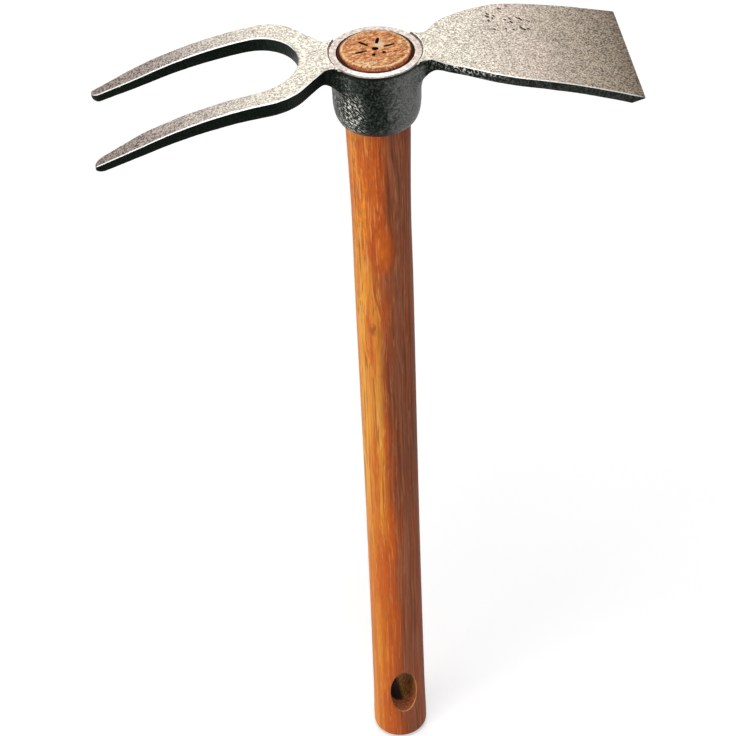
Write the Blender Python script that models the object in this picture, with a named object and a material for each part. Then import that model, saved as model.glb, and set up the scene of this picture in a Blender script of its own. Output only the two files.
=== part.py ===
"""Combination hoe: a drop-forged head with a blade and a two-tined fork on a turned wooden handle.

Sizes are metres. Z runs up the handle, the blade reaches along +X and the fork along -X.
The origin is the centre of the hanging slot near the butt of the handle.
"""
import math

import bmesh
import bpy
from mathutils import Matrix, Vector

# Handle: heights run up from the butt, or down from the wooden end in the eye
HANDLE_LENGTH = 0.4195
BUTT_RADIUS = 0.01375
BUTT_FLARE_HEIGHT = 0.0075
BUTT_EDGE_RADIUS = 0.0032
BUTT_EDGE_STEPS = 5
GRIP_RADIUS = 0.01335
GRIP_HEIGHT = 0.032
WAIST_RADIUS = 0.01305
WAIST_HEIGHT = 0.152
BELLY_RADIUS = 0.01342
BELLY_DEPTH = 0.1255
NECK_RADIUS = 0.0133
NECK_DEPTH = 0.0825
BODY_STEPS = 22
HANDLE_SIDES = 64

# Wooden end in the eye
WOOD_RADIUS_AT_LIP = 0.0143
WOOD_RADIUS_AT_FACE = 0.0165
WOOD_PROUD = 0.0015
END_CHAMFER_WIDTH = 0.0020
END_CHAMFER_HEIGHT = 0.0019
CENTRE_HOLE_RADIUS = 0.0014
CENTRE_HOLE_DEPTH = 0.003
CENTRE_HOLE_SIDES = 16
DRIVE_MARK_INNER = 0.0038
DRIVE_MARK_OUTER = (0.0089, 0.0085, 0.0089, 0.0091, 0.0058, 0.0056)
DRIVE_MARK_WIDTH = 0.0012
DRIVE_MARK_DEPTH = 0.0012
DRIVE_MARK_TURN = math.radians(15.5)

# Oval hanging slot through the handle, with an eased rim on both sides
SLOT_HEIGHT_ON_HANDLE = 0.034
SLOT_WIDTH = 0.0137
SLOT_LENGTH = 0.0290
SLOT_MOUTH_WIDTH = 0.0149
SLOT_MOUTH_LENGTH = 0.0304
SLOT_MOUTH_DEPTH = 0.0006
SLOT_TURN = math.radians(5.4)
SLOT_UPPER_FULLNESS = 1.9
SLOT_LOWER_FULLNESS = 2.35
SLOT_SIDES = 32
SLOT_MOUTH_STEPS = 2

# Eye collar and its flat ring
EYE_CLEARANCE = 0.0003
RING_RADIUS = 0.0200
RING_EDGE_CHAMFER = 0.0003
COLLAR_HEIGHT = 0.0326
COLLAR_FLARE_DEPTH = 0.012
COLLAR_SHOULDER_RADIUS = 0.0193
COLLAR_WAIST_RADIUS = 0.0190
COLLAR_WAIST_DEPTH = 0.0225
COLLAR_LIP_WIDTH = 0.0009
SPOT_FACE_MARGIN = 0.0004
COLLAR_SIDES = 72
COLLAR_FLARE_STEPS = 5
COLLAR_ROUND_STEPS = 8

# Plate that runs from the tines through the eye to the blade
RING_STEP = 0.0007
BLADE_NECK_RISE = 0.0018
FORK_NECK_RISE = 0.0008
NECK_RISE_LENGTH = 0.012
NECK_HALF_WIDTH = 0.0101
NECK_CORNER_RADIUS = 0.0045
PLATE_EDGE_RADIUS = 0.0006
EYE_ROOT_HALF_WIDTH = 0.0142
EYE_ROOT_REACH = 0.011
EYE_ROOT_RADIUS = 0.003
PLATE_EDGE_STEPS = 3

# Blade
BLADE_REACH = 0.1091
BLADE_EDGE_WIDTH = 0.0687
BLADE_CORNER_RADIUS = 0.0005
BLADE_NECK_REACH = 0.0222
BLADE_HEEL_REACH = 0.0285
BLADE_HEEL_WIDTH = 0.0350
BLADE_HEEL_RADIUS = 0.018
BLADE_SHOULDER_REACH = 0.0520
BLADE_SHOULDER_WIDTH = 0.0587
BLADE_SHOULDER_RADIUS = 0.055
BLADE_DROP = 0.0148
BLADE_BEND_START = 0.032
BLADE_BEND_POWER = 1.68
BLADE_NECK_THICKNESS = 0.0045
BLADE_THICKNESS = 0.0045
BLADE_THIN_REACH = 0.045
BLADE_GRIND_LENGTH = 0.0055
CUTTING_EDGE_THICKNESS = 0.0006
BLADE_UNDER_FILLET = 0.0127

# Fork
FORK_REACH = 0.1216
FORK_GAP = 0.0416
TINE_WIDTH = 0.0098
TINE_TIP_WIDTH = 0.0050
TINE_TIP_OUTER_RADIUS = 0.0010
TINE_TIP_INNER_RADIUS = 0.0042
TINE_TIP_OUTER_STEP = 0.0017
TINE_TAPER_REACH = 0.101
TINE_TAPER_RADIUS = 0.060
FORK_NECK_REACH = 0.0214
FORK_SHOULDER_REACH = 0.0388
FORK_SHOULDER_RADIUS = 0.020
FORK_CROTCH_REACH = 0.0328
CROTCH_FLAT = 0.0004
FORK_DROP = 0.0258
FORK_BEND_START = 0.0255
FORK_BEND_LENGTH = 0.080
TINE_THIN_POWER = 1.7
FORK_NECK_THICKNESS = 0.0068
TINE_END_THICKNESS = 0.0039
TINE_GRIND_LENGTH = 0.004
TINE_POINT_THICKNESS = 0.0018
FORK_UNDER_FILLET = 0.0105

# Fineness of curves: how far a chord may lie from its arc, and the pitch of cuts across the plate
CHORD_ERROR = 0.00005
SHARP_ANGLE = math.radians(32.0)
PLATE_PITCH = 0.0065
NECK_PITCH = 0.0016
NECK_GRID_REACH = 0.033
TINE_GRIND_STEPS = 2

# Working values: the flat plate before it is shaped, spare length on cutters, and what counts as one place
BLANK_THICKNESS = 0.005
CUT_SPARE = 0.002
SLOT_RUN_OUT = 0.25
CLOSE = 0.000001

# Display materials, with linear colours
WOOD_COLOUR = (0.55, 0.24, 0.10)
WOOD_ROUGHNESS = 0.38
STEEL_COLOUR = (0.42, 0.40, 0.37)
STEEL_ROUGHNESS = 0.5
METAL = 1.0
NOT_METAL = 0.0

# Heights on the handle that follow from the sizes above
BUTT_Z = -SLOT_HEIGHT_ON_HANDLE
WOOD_END_Z = BUTT_Z + HANDLE_LENGTH
RING_Z = WOOD_END_Z - WOOD_PROUD
LIP_Z = RING_Z - COLLAR_HEIGHT


def clear_scene():
    for item in list(bpy.data.objects):
        bpy.data.objects.remove(item, do_unlink=True)


def make_material(name, colour, roughness, metallic):
    material = bpy.data.materials.new(name)
    material.use_nodes = True
    shader = material.node_tree.nodes["Principled BSDF"]
    shader.inputs["Base Color"].default_value = (*colour, 1.0)
    shader.inputs["Roughness"].default_value = roughness
    shader.inputs["Metallic"].default_value = metallic
    return material


def mark_smooth(mesh):
    mesh.shade_smooth()
    mesh.set_sharp_from_angle(angle=SHARP_ANGLE)


def finish_object(name, bm, material=None):
    """Turn a bmesh into a scene object, with its faces pointing out and its round sides smooth."""
    bmesh.ops.recalc_face_normals(bm, faces=bm.faces)
    mesh = bpy.data.meshes.new(name)
    bm.to_mesh(mesh)
    bm.free()
    mark_smooth(mesh)
    item = bpy.data.objects.new(name, mesh)
    bpy.context.scene.collection.objects.link(item)
    if material is not None:
        mesh.materials.append(material)
    return item


def as_tool(item):
    """A cutter, or a shape that is only there to be joined to another."""
    item.hide_render = True
    item.display_type = "WIRE"
    return item


def add_boolean(item, tool, operation):
    modifier = item.modifiers.new(tool.name, "BOOLEAN")
    modifier.operation = operation
    modifier.solver = "EXACT"
    modifier.object = tool


def settle_shape(item):
    """Keep the result of the modifiers as the object's own mesh, and mark its sharp edges anew."""
    shaped = item.evaluated_get(bpy.context.evaluated_depsgraph_get())
    mesh = bpy.data.meshes.new_from_object(shaped)
    item.modifiers.clear()
    item.data = mesh
    mesh.name = item.name
    mark_smooth(mesh)


def turned_bmesh(profile, sides):
    """Spin a profile of (radius, z) points about the Z axis into a closed solid."""
    bm = bmesh.new()
    points = [bm.verts.new((radius, 0.0, z)) for radius, z in profile]
    edges = [bm.edges.new(pair) for pair in zip(points, points[1:])]
    bmesh.ops.spin(
        bm, geom=points + edges, cent=(0.0, 0.0, 0.0), axis=(0.0, 0.0, 1.0),
        angle=math.tau, steps=sides, use_merge=True,
    )
    bmesh.ops.remove_doubles(bm, verts=bm.verts, dist=CLOSE)
    return bm


def arc_count(radius, turn):
    """Number of chords that keep an arc within the chord error."""
    largest_step = 2.0 * math.acos(max(0.0, 1.0 - CHORD_ERROR / max(radius, 2.0 * CHORD_ERROR)))
    return max(2, math.ceil(abs(turn) / largest_step))


def smooth_value(stations, place):
    """Cubic curve through (place, value) stations, with the slope at each taken from its neighbours."""
    last = len(stations) - 1
    index = 0
    while index < last - 1 and place > stations[index + 1][0]:
        index += 1

    def slope(k):
        before = stations[max(k - 1, 0)]
        after = stations[min(k + 1, last)]
        return (after[1] - before[1]) / (after[0] - before[0])

    (start, low), (end, high) = stations[index], stations[index + 1]
    span = end - start
    t = min(max((place - start) / span, 0.0), 1.0)
    rise = 3.0 * t * t - 2.0 * t ** 3
    lead_in = (t ** 3 - 2.0 * t * t + t) * span * slope(index)
    lead_out = (t ** 3 - t * t) * span * slope(index + 1)
    return low + (high - low) * rise + lead_in + lead_out


def blend(start, end, share):
    return start + (end - start) * min(max(share, 0.0), 1.0)


# Handle

def eye_taper_radius(z):
    """Radius of the wood inside the eye, where it widens towards the top."""
    share = (z - LIP_Z) / (RING_Z - LIP_Z)
    return WOOD_RADIUS_AT_LIP + (WOOD_RADIUS_AT_FACE - WOOD_RADIUS_AT_LIP) * share


def handle_radius(z):
    """Radius of the turned handle below the eye."""
    stations = [
        (BUTT_Z + BUTT_FLARE_HEIGHT, BUTT_RADIUS),
        (BUTT_Z + GRIP_HEIGHT, GRIP_RADIUS),
        (BUTT_Z + WAIST_HEIGHT, WAIST_RADIUS),
        (WOOD_END_Z - BELLY_DEPTH, BELLY_RADIUS),
        (WOOD_END_Z - NECK_DEPTH, NECK_RADIUS),
        (LIP_Z, WOOD_RADIUS_AT_LIP),
    ]
    return smooth_value(stations, z)


def handle_profile():
    """Outline of the handle from the middle of the butt to the middle of the wooden end."""
    profile = [(0.0, BUTT_Z)]
    for step in range(BUTT_EDGE_STEPS + 1):
        angle = 0.5 * math.pi * step / BUTT_EDGE_STEPS
        radius = BUTT_RADIUS - BUTT_EDGE_RADIUS * (1.0 - math.sin(angle))
        profile.append((radius, BUTT_Z + BUTT_EDGE_RADIUS * (1.0 - math.cos(angle))))
    start = BUTT_Z + BUTT_FLARE_HEIGHT
    for step in range(BODY_STEPS):
        z = start + (LIP_Z - start) * step / BODY_STEPS
        profile.append((handle_radius(z), z))
    chamfer_z = WOOD_END_Z - END_CHAMFER_HEIGHT
    profile.append((eye_taper_radius(LIP_Z), LIP_Z))
    profile.append((eye_taper_radius(chamfer_z), chamfer_z))
    profile.append((eye_taper_radius(chamfer_z) - END_CHAMFER_WIDTH, WOOD_END_Z))
    profile.append((0.0, WOOD_END_Z))
    return profile


def slot_outline(opening):
    """Oval in X and Z round the slot's centre: 0 is the slot's own outline and 1 is its mouth's."""
    half_width = 0.5 * (SLOT_WIDTH + (SLOT_MOUTH_WIDTH - SLOT_WIDTH) * opening)
    half_length = 0.5 * (SLOT_LENGTH + (SLOT_MOUTH_LENGTH - SLOT_LENGTH) * opening)
    outline = []
    for step in range(SLOT_SIDES):
        turn = math.tau * step / SLOT_SIDES
        across, along = math.cos(turn), math.sin(turn)
        power = 2.0 / (SLOT_UPPER_FULLNESS if along > 0.0 else SLOT_LOWER_FULLNESS)
        x = math.copysign(abs(across) ** power, across)
        z = math.copysign(abs(along) ** power, along)
        outline.append((half_width * x, half_length * z))
    return outline


def surface_depth(x, z):
    """How far the handle's surface stands from the middle plane, at a place beside the axis."""
    radius = handle_radius(z)
    return math.sqrt(max(radius * radius - x * x, 0.0))


def make_slot_cutter():
    """Oval bar through the handle that opens out in a quarter round where it leaves the wood."""
    mouth = []
    for step in range(SLOT_MOUTH_STEPS + 1):
        angle = 0.5 * math.pi * step / SLOT_MOUTH_STEPS
        mouth.append((1.0 - math.cos(angle), -SLOT_MOUTH_DEPTH * (1.0 - math.sin(angle))))
    half = []
    for opening, depth in mouth:
        half.append([(x, surface_depth(x, z) + depth, z) for x, z in slot_outline(opening)])
    half.append([(x, BUTT_RADIUS + CUT_SPARE, z) for x, z in slot_outline(1.0 + SLOT_RUN_OUT)])
    bm = bmesh.new()
    rings = []
    for level in reversed(half):
        rings.append([bm.verts.new((x, -y, z)) for x, y, z in level])
    for level in half:
        rings.append([bm.verts.new(place) for place in level])
    for ring, following in zip(rings, rings[1:]):
        for k in range(len(ring)):
            after = (k + 1) % len(ring)
            bm.faces.new((ring[k], ring[after], following[after], following[k]))
    bm.faces.new(rings[0])
    bm.faces.new(rings[-1])
    bmesh.ops.rotate(bm, verts=bm.verts, cent=(0.0, 0.0, 0.0), matrix=Matrix.Rotation(SLOT_TURN, 3, "Z"))
    return as_tool(finish_object("slot_cutter", bm))


def make_end_mark_cutter():
    """Centre hole and radial slots that a lathe's drive centre leaves in the end grain."""
    bm = bmesh.new()
    hole_floor = WOOD_END_Z - CENTRE_HOLE_DEPTH
    hole_top = WOOD_END_Z + CUT_SPARE
    rings = []
    for z in (hole_floor + CENTRE_HOLE_RADIUS, hole_top):
        ring = []
        for k in range(CENTRE_HOLE_SIDES):
            angle = math.tau * k / CENTRE_HOLE_SIDES
            x, y = CENTRE_HOLE_RADIUS * math.cos(angle), CENTRE_HOLE_RADIUS * math.sin(angle)
            ring.append(bm.verts.new((x, y, z)))
        rings.append(ring)
    point = bm.verts.new((0.0, 0.0, hole_floor))
    for k in range(CENTRE_HOLE_SIDES):
        after = (k + 1) % CENTRE_HOLE_SIDES
        bm.faces.new((rings[0][k], rings[0][after], rings[1][after], rings[1][k]))
        bm.faces.new((point, rings[0][after], rings[0][k]))
    bm.faces.new(rings[1])
    for mark, reach in enumerate(DRIVE_MARK_OUTER):
        angle = DRIVE_MARK_TURN + math.tau * mark / len(DRIVE_MARK_OUTER)
        out = Vector((math.cos(angle), math.sin(angle), 0.0))
        across = Vector((-out.y, out.x, 0.0)) * (0.5 * DRIVE_MARK_WIDTH)
        corners = []
        for z in (WOOD_END_Z - DRIVE_MARK_DEPTH, hole_top):
            for along, side in (
                (DRIVE_MARK_INNER, -1.0), (reach, -1.0), (reach, 1.0), (DRIVE_MARK_INNER, 1.0),
            ):
                place = out * along + across * side
                corners.append(bm.verts.new((place.x, place.y, z)))
        low, high = corners[:4], corners[4:]
        bm.faces.new(low[::-1])
        bm.faces.new(high)
        for k in range(4):
            after = (k + 1) % 4
            bm.faces.new((low[k], low[after], high[after], high[k]))
    return as_tool(finish_object("end_mark_cutter", bm))


def make_handle():
    wood = make_material("lacquered_hardwood", WOOD_COLOUR, WOOD_ROUGHNESS, NOT_METAL)
    handle = finish_object("handle", turned_bmesh(handle_profile(), HANDLE_SIDES), wood)
    add_boolean(handle, make_slot_cutter(), "DIFFERENCE")
    add_boolean(handle, make_end_mark_cutter(), "DIFFERENCE")
    settle_shape(handle)


# Forged head

def head_corners():
    """Corners of the head's plan outline as (x, y, fillet radius), anticlockwise from the blade."""
    half_edge = 0.5 * BLADE_EDGE_WIDTH
    half_gap = 0.5 * FORK_GAP
    outer = half_gap + TINE_WIDTH
    tip_outer = outer - TINE_TIP_OUTER_STEP
    tip_inner = tip_outer - TINE_TIP_WIDTH
    crotch_radius = half_gap - 0.5 * CROTCH_FLAT
    upper = [
        (BLADE_REACH, half_edge, BLADE_CORNER_RADIUS),
        (BLADE_SHOULDER_REACH, 0.5 * BLADE_SHOULDER_WIDTH, BLADE_SHOULDER_RADIUS),
        (BLADE_HEEL_REACH, 0.5 * BLADE_HEEL_WIDTH, BLADE_HEEL_RADIUS),
        (BLADE_NECK_REACH, NECK_HALF_WIDTH, NECK_CORNER_RADIUS),
        (EYE_ROOT_REACH, EYE_ROOT_HALF_WIDTH, EYE_ROOT_RADIUS),
        (-EYE_ROOT_REACH, EYE_ROOT_HALF_WIDTH, EYE_ROOT_RADIUS),
        (-FORK_NECK_REACH, NECK_HALF_WIDTH, NECK_CORNER_RADIUS),
        (-FORK_SHOULDER_REACH, outer, FORK_SHOULDER_RADIUS),
        (-TINE_TAPER_REACH, outer, TINE_TAPER_RADIUS),
        (-FORK_REACH, tip_outer, TINE_TIP_OUTER_RADIUS),
        (-FORK_REACH, tip_inner, TINE_TIP_INNER_RADIUS),
        (-TINE_TAPER_REACH, half_gap, TINE_TAPER_RADIUS),
        (-FORK_CROTCH_REACH, half_gap, crotch_radius),
    ]
    lower = [(x, -y, radius) for x, y, radius in reversed(upper)]
    return upper + lower


def rounded_outline(corners, inset):
    """Closed outline through filleted corners, moved inwards by inset, with the same count at any inset."""
    points = []
    count = len(corners)
    for k, (x, y, radius) in enumerate(corners):
        here = Vector((x, y))
        into = (here - Vector(corners[k - 1][:2])).normalized()
        away = (Vector(corners[(k + 1) % count][:2]) - here).normalized()
        normal_in = Vector((-into.y, into.x))
        normal_out = Vector((-away.y, away.x))
        turn = math.atan2(into.x * away.y - into.y * away.x, into.dot(away))
        side = 1.0 if turn > 0.0 else -1.0
        to_centre = (normal_in + normal_out) / (1.0 + normal_in.dot(normal_out))
        centre = here + to_centre * (side * radius)
        reach = radius - side * inset
        first = math.atan2(-side * normal_in.y, -side * normal_in.x)
        steps = arc_count(radius, turn)
        for step in range(steps + 1):
            angle = first + turn * step / steps
            points.append((centre.x + reach * math.cos(angle), centre.y + reach * math.sin(angle)))
    return points


def bent_drop(along):
    """Drop of a bar that bends evenly over the fork's bend length and is straight from there on."""
    bent = min(max(along, 0.0), FORK_BEND_LENGTH)
    return 0.5 * bent * bent + FORK_BEND_LENGTH * max(0.0, along - FORK_BEND_LENGTH)


def crown_height(x):
    """Height of the plate's top above the ring face: it climbs off the ring, then droops to both ends."""
    climb = min(max((abs(x) - RING_RADIUS) / NECK_RISE_LENGTH, 0.0), 1.0)
    climb = climb * climb * (3.0 - 2.0 * climb)
    if x > 0.0:
        share = max(0.0, (x - BLADE_BEND_START) / (BLADE_REACH - BLADE_BEND_START))
        return RING_STEP + (BLADE_NECK_RISE - RING_STEP) * climb - BLADE_DROP * share ** BLADE_BEND_POWER
    share = bent_drop(-x - FORK_BEND_START) / bent_drop(FORK_REACH - FORK_BEND_START)
    return RING_STEP + (FORK_NECK_RISE - RING_STEP) * climb - FORK_DROP * share


def plate_thickness(x):
    """Thickness along the head, with the grinds that sharpen the blade and the tines from below."""
    if x > 0.0:
        beyond_neck = (x - BLADE_NECK_REACH) / (BLADE_THIN_REACH - BLADE_NECK_REACH)
        body = blend(BLADE_NECK_THICKNESS, BLADE_THICKNESS, beyond_neck)
        ground = (x - BLADE_REACH + BLADE_GRIND_LENGTH) / BLADE_GRIND_LENGTH
        return blend(body, CUTTING_EDGE_THICKNESS, ground)
    along = max(0.0, (-x - FORK_CROTCH_REACH) / (FORK_REACH - FORK_CROTCH_REACH))
    body = blend(FORK_NECK_THICKNESS, TINE_END_THICKNESS, along ** TINE_THIN_POWER)
    ground = max(0.0, (-x - FORK_REACH + TINE_GRIND_LENGTH) / TINE_GRIND_LENGTH)
    return blend(body, TINE_POINT_THICKNESS, ground * ground)


def under_fillet_depth(x, y):
    """Extra depth where the underside of a neck sweeps down into the collar."""
    fillet = BLADE_UNDER_FILLET if x > 0.0 else FORK_UNDER_FILLET
    beyond = COLLAR_SHOULDER_RADIUS + fillet - math.hypot(x, y)
    if beyond <= 0.0:
        return 0.0
    beyond = min(beyond, fillet)
    return fillet - math.sqrt(fillet * fillet - beyond * beyond)


def plate_sections():
    """Places along X where the plate is cut across, so that it can bend."""
    cuts = [BLADE_REACH - BLADE_GRIND_LENGTH]
    for k in range(TINE_GRIND_STEPS):
        cuts.append(TINE_GRIND_LENGTH * (1.0 - k / TINE_GRIND_STEPS) - FORK_REACH)
    for reach in (BLADE_REACH, -FORK_REACH):
        length = abs(reach) - NECK_GRID_REACH
        count = math.ceil(length / PLATE_PITCH)
        for k in range(count):
            cuts.append(math.copysign(NECK_GRID_REACH + length * k / count, reach))
    first = EYE_ROOT_HALF_WIDTH
    count = math.ceil((NECK_GRID_REACH - first) / NECK_PITCH)
    for k in range(count):
        place = first + (NECK_GRID_REACH - first) * k / count
        cuts.extend((place, -place))
    return cuts


def cut_across(bm, faces, place, normal):
    parts = set(faces)
    for face in faces:
        parts.update(face.edges)
        parts.update(face.verts)
    bmesh.ops.bisect_plane(bm, geom=list(parts), plane_co=place, plane_no=normal, dist=CLOSE)


def make_plate():
    """Blade, necks and fork in one piece: a flat outline with rounded edges, cut across, then bent."""
    corners = head_corners()
    levels = []
    for step in range(PLATE_EDGE_STEPS + 1):
        angle = 0.5 * math.pi * step / PLATE_EDGE_STEPS
        inset = PLATE_EDGE_RADIUS * (1.0 - math.sin(angle))
        levels.append((inset, PLATE_EDGE_RADIUS * (1.0 - math.cos(angle))))
    levels += [(inset, BLANK_THICKNESS - height) for inset, height in reversed(levels)]
    bm = bmesh.new()
    rings = []
    for inset, z in levels:
        rings.append([bm.verts.new((px, py, z)) for px, py in rounded_outline(corners, inset)])
    for ring, following in zip(rings, rings[1:]):
        for k in range(len(ring)):
            after = (k + 1) % len(ring)
            bm.faces.new((ring[k], ring[after], following[after], following[k]))
    bm.faces.new(rings[0][::-1])
    bm.faces.new(rings[-1])
    for x in plate_sections():
        cut_across(bm, bm.faces[:], (x, 0.0, 0.0), (1.0, 0.0, 0.0))
    rows = math.ceil(2.0 * EYE_ROOT_HALF_WIDTH / (2.0 * NECK_PITCH))
    for k in range(rows + 1):
        y = EYE_ROOT_HALF_WIDTH * (2.0 * k / rows - 1.0)
        under_neck = [
            face for face in bm.faces
            if all(vert.co.z < CLOSE and abs(vert.co.x) < NECK_GRID_REACH + CLOSE for vert in face.verts)
        ]
        cut_across(bm, under_neck, (0.0, y, 0.0), (0.0, 1.0, 0.0))
    bmesh.ops.triangulate(bm, faces=bm.faces)
    for vert in bm.verts:
        x, y, height = vert.co
        share_below = 1.0 - height / BLANK_THICKNESS
        thickness = plate_thickness(x) + under_fillet_depth(x, y)
        vert.co.z = RING_Z + crown_height(x) - share_below * thickness
    return bm


def collar_profile():
    """Bell of the eye: it flares up to the ring and rounds in to the lip, filled in the middle."""
    blank_top = RING_Z + 0.5 * RING_STEP
    profile = [(0.0, blank_top), (RING_RADIUS, blank_top)]
    for step in range(COLLAR_FLARE_STEPS + 1):
        share = step / COLLAR_FLARE_STEPS
        radius = COLLAR_SHOULDER_RADIUS + (RING_RADIUS - COLLAR_SHOULDER_RADIUS) * (1.0 - share) ** 2
        depth = blend(RING_EDGE_CHAMFER, COLLAR_FLARE_DEPTH, share)
        profile.append((radius, RING_Z - depth))
    lip_radius = WOOD_RADIUS_AT_LIP + EYE_CLEARANCE + COLLAR_LIP_WIDTH
    for step in range(COLLAR_ROUND_STEPS + 1):
        angle = 0.5 * math.pi * step / COLLAR_ROUND_STEPS
        radius = lip_radius + (COLLAR_WAIST_RADIUS - lip_radius) * math.cos(angle)
        depth = COLLAR_WAIST_DEPTH + (COLLAR_HEIGHT - COLLAR_WAIST_DEPTH) * math.sin(angle)
        profile.append((radius, RING_Z - depth))
    profile.append((0.0, LIP_Z))
    return profile


def make_bore_cutter():
    """Tapered eye: the wood's own taper plus the clearance."""
    profile = [(0.0, LIP_Z - CUT_SPARE)]
    for z in (LIP_Z - CUT_SPARE, RING_Z + CUT_SPARE):
        profile.append((eye_taper_radius(z) + EYE_CLEARANCE, z))
    profile.append((0.0, RING_Z + CUT_SPARE))
    return as_tool(finish_object("bore_cutter", turned_bmesh(profile, COLLAR_SIDES)))


def make_spot_face_cutter():
    """Levels the ring, takes its outer edge off and steps it down below the necks."""
    outer = RING_RADIUS + SPOT_FACE_MARGIN
    groove_z = RING_Z - RING_EDGE_CHAMFER
    profile = [
        (0.0, RING_Z),
        (RING_RADIUS - RING_EDGE_CHAMFER, RING_Z),
        (RING_RADIUS, groove_z),
        (outer, groove_z),
        (outer, RING_Z + CUT_SPARE),
        (0.0, RING_Z + CUT_SPARE),
    ]
    return as_tool(finish_object("spot_face_cutter", turned_bmesh(profile, COLLAR_SIDES)))


def make_head():
    steel = make_material("forged_steel", STEEL_COLOUR, STEEL_ROUGHNESS, METAL)
    head = finish_object("forged_head", make_plate(), steel)
    collar = as_tool(finish_object("collar_blank", turned_bmesh(collar_profile(), COLLAR_SIDES)))
    add_boolean(head, collar, "UNION")
    add_boolean(head, make_spot_face_cutter(), "DIFFERENCE")
    add_boolean(head, make_bore_cutter(), "DIFFERENCE")
    settle_shape(head)


clear_scene()
make_head()
make_handle()
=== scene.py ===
"""Looks of the combination hoe: finely shaped head and handle, their materials, the light and the camera.

Sizes are metres, in the model's own frame: Z runs up the handle, the blade reaches along +X and the fork
along -X, and the origin is the centre of the hanging slot near the butt.
"""
import math

import bmesh
import bpy
from mathutils import Matrix, Vector, noise


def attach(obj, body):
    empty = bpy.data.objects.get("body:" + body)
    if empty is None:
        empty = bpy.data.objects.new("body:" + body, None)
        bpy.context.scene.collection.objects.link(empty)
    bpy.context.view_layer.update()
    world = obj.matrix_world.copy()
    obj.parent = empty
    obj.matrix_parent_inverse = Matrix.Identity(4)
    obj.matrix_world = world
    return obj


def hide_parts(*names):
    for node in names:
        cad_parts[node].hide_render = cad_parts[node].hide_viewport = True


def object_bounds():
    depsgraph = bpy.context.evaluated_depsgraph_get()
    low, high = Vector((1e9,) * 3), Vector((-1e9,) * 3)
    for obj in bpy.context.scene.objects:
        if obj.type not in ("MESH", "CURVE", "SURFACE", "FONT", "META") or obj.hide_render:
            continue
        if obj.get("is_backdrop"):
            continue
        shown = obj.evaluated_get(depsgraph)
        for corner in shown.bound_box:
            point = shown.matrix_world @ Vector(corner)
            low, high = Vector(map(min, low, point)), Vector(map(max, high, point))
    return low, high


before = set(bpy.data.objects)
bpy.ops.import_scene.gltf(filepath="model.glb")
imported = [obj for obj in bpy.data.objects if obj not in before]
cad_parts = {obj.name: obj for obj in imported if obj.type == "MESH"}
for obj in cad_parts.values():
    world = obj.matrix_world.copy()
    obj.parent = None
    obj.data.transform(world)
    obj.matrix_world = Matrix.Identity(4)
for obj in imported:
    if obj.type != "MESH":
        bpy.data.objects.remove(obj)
cad_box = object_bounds()

# Handle, with heights from the butt or down from the wooden end in the eye
HANDLE_LENGTH = 0.4195
BUTT_RADIUS = 0.01375
BUTT_FLARE_HEIGHT = 0.0075
BUTT_EDGE_RADIUS = 0.0032
GRIP_RADIUS = 0.01335
GRIP_HEIGHT = 0.032
WAIST_RADIUS = 0.01305
WAIST_HEIGHT = 0.152
BELLY_RADIUS = 0.01342
BELLY_DEPTH = 0.1255
NECK_RADIUS = 0.0133
NECK_DEPTH = 0.0825
WOOD_RADIUS_AT_LIP = 0.0143
WOOD_RADIUS_AT_FACE = 0.0165
WOOD_PROUD = 0.0015
END_CHAMFER_WIDTH = 0.0020
END_CHAMFER_HEIGHT = 0.0019
END_EDGE_WIDTH = 0.00025
END_EDGE_DROP = 0.00012
END_EDGE_RUN_IN = 0.0001
CENTRE_HOLE_RADIUS = 0.0014
CENTRE_HOLE_DEPTH = 0.003
CENTRE_HOLE_SIDES = 28
CENTRE_HOLE_FLARE = 1.35
CENTRE_HOLE_FLARE_DEPTH = 0.0003
CENTRE_HOLE_UNEVENNESS = 0.07
CENTRE_HOLE_LOBES = 3.0
CENTRE_HOLE_SEED = 1.7
DRIVE_MARK_INNER = 0.0038
DRIVE_MARK_OUTER = (0.0089, 0.0085, 0.0089, 0.0091, 0.0058, 0.0056)
DRIVE_MARK_WIDTH = 0.0012
DRIVE_MARK_DEPTH = 0.0012
DRIVE_MARK_TURN = math.radians(15.5)
DRIVE_MARK_STEPS = 7
DRIVE_MARK_END_SHARE = 0.55
DRIVE_MARK_SWELL = (0.10, 0.90)
DRIVE_MARK_WALLS = ((1.0, 0.6), (0.3, 1.2))
DRIVE_MARK_SPREAD = 2.2
SLOT_HEIGHT_ON_HANDLE = 0.034
SLOT_WIDTH = 0.0137
SLOT_LENGTH = 0.0290
SLOT_MOUTH_WIDTH = 0.0149
SLOT_MOUTH_LENGTH = 0.0304
SLOT_MOUTH_DEPTH = 0.0006
SLOT_TURN = math.radians(5.4)
SLOT_UPPER_FULLNESS = 1.9
SLOT_LOWER_FULLNESS = 2.35

# Eye collar and its flat ring
EYE_CLEARANCE = 0.0003
RING_RADIUS = 0.0200
RING_EDGE_CHAMFER = 0.0003
COLLAR_HEIGHT = 0.0326
COLLAR_FLARE_DEPTH = 0.012
COLLAR_SHOULDER_RADIUS = 0.0193
COLLAR_WAIST_RADIUS = 0.0190
COLLAR_WAIST_DEPTH = 0.0225
COLLAR_LIP_WIDTH = 0.0009
SPOT_FACE_MARGIN = 0.0004

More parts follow.
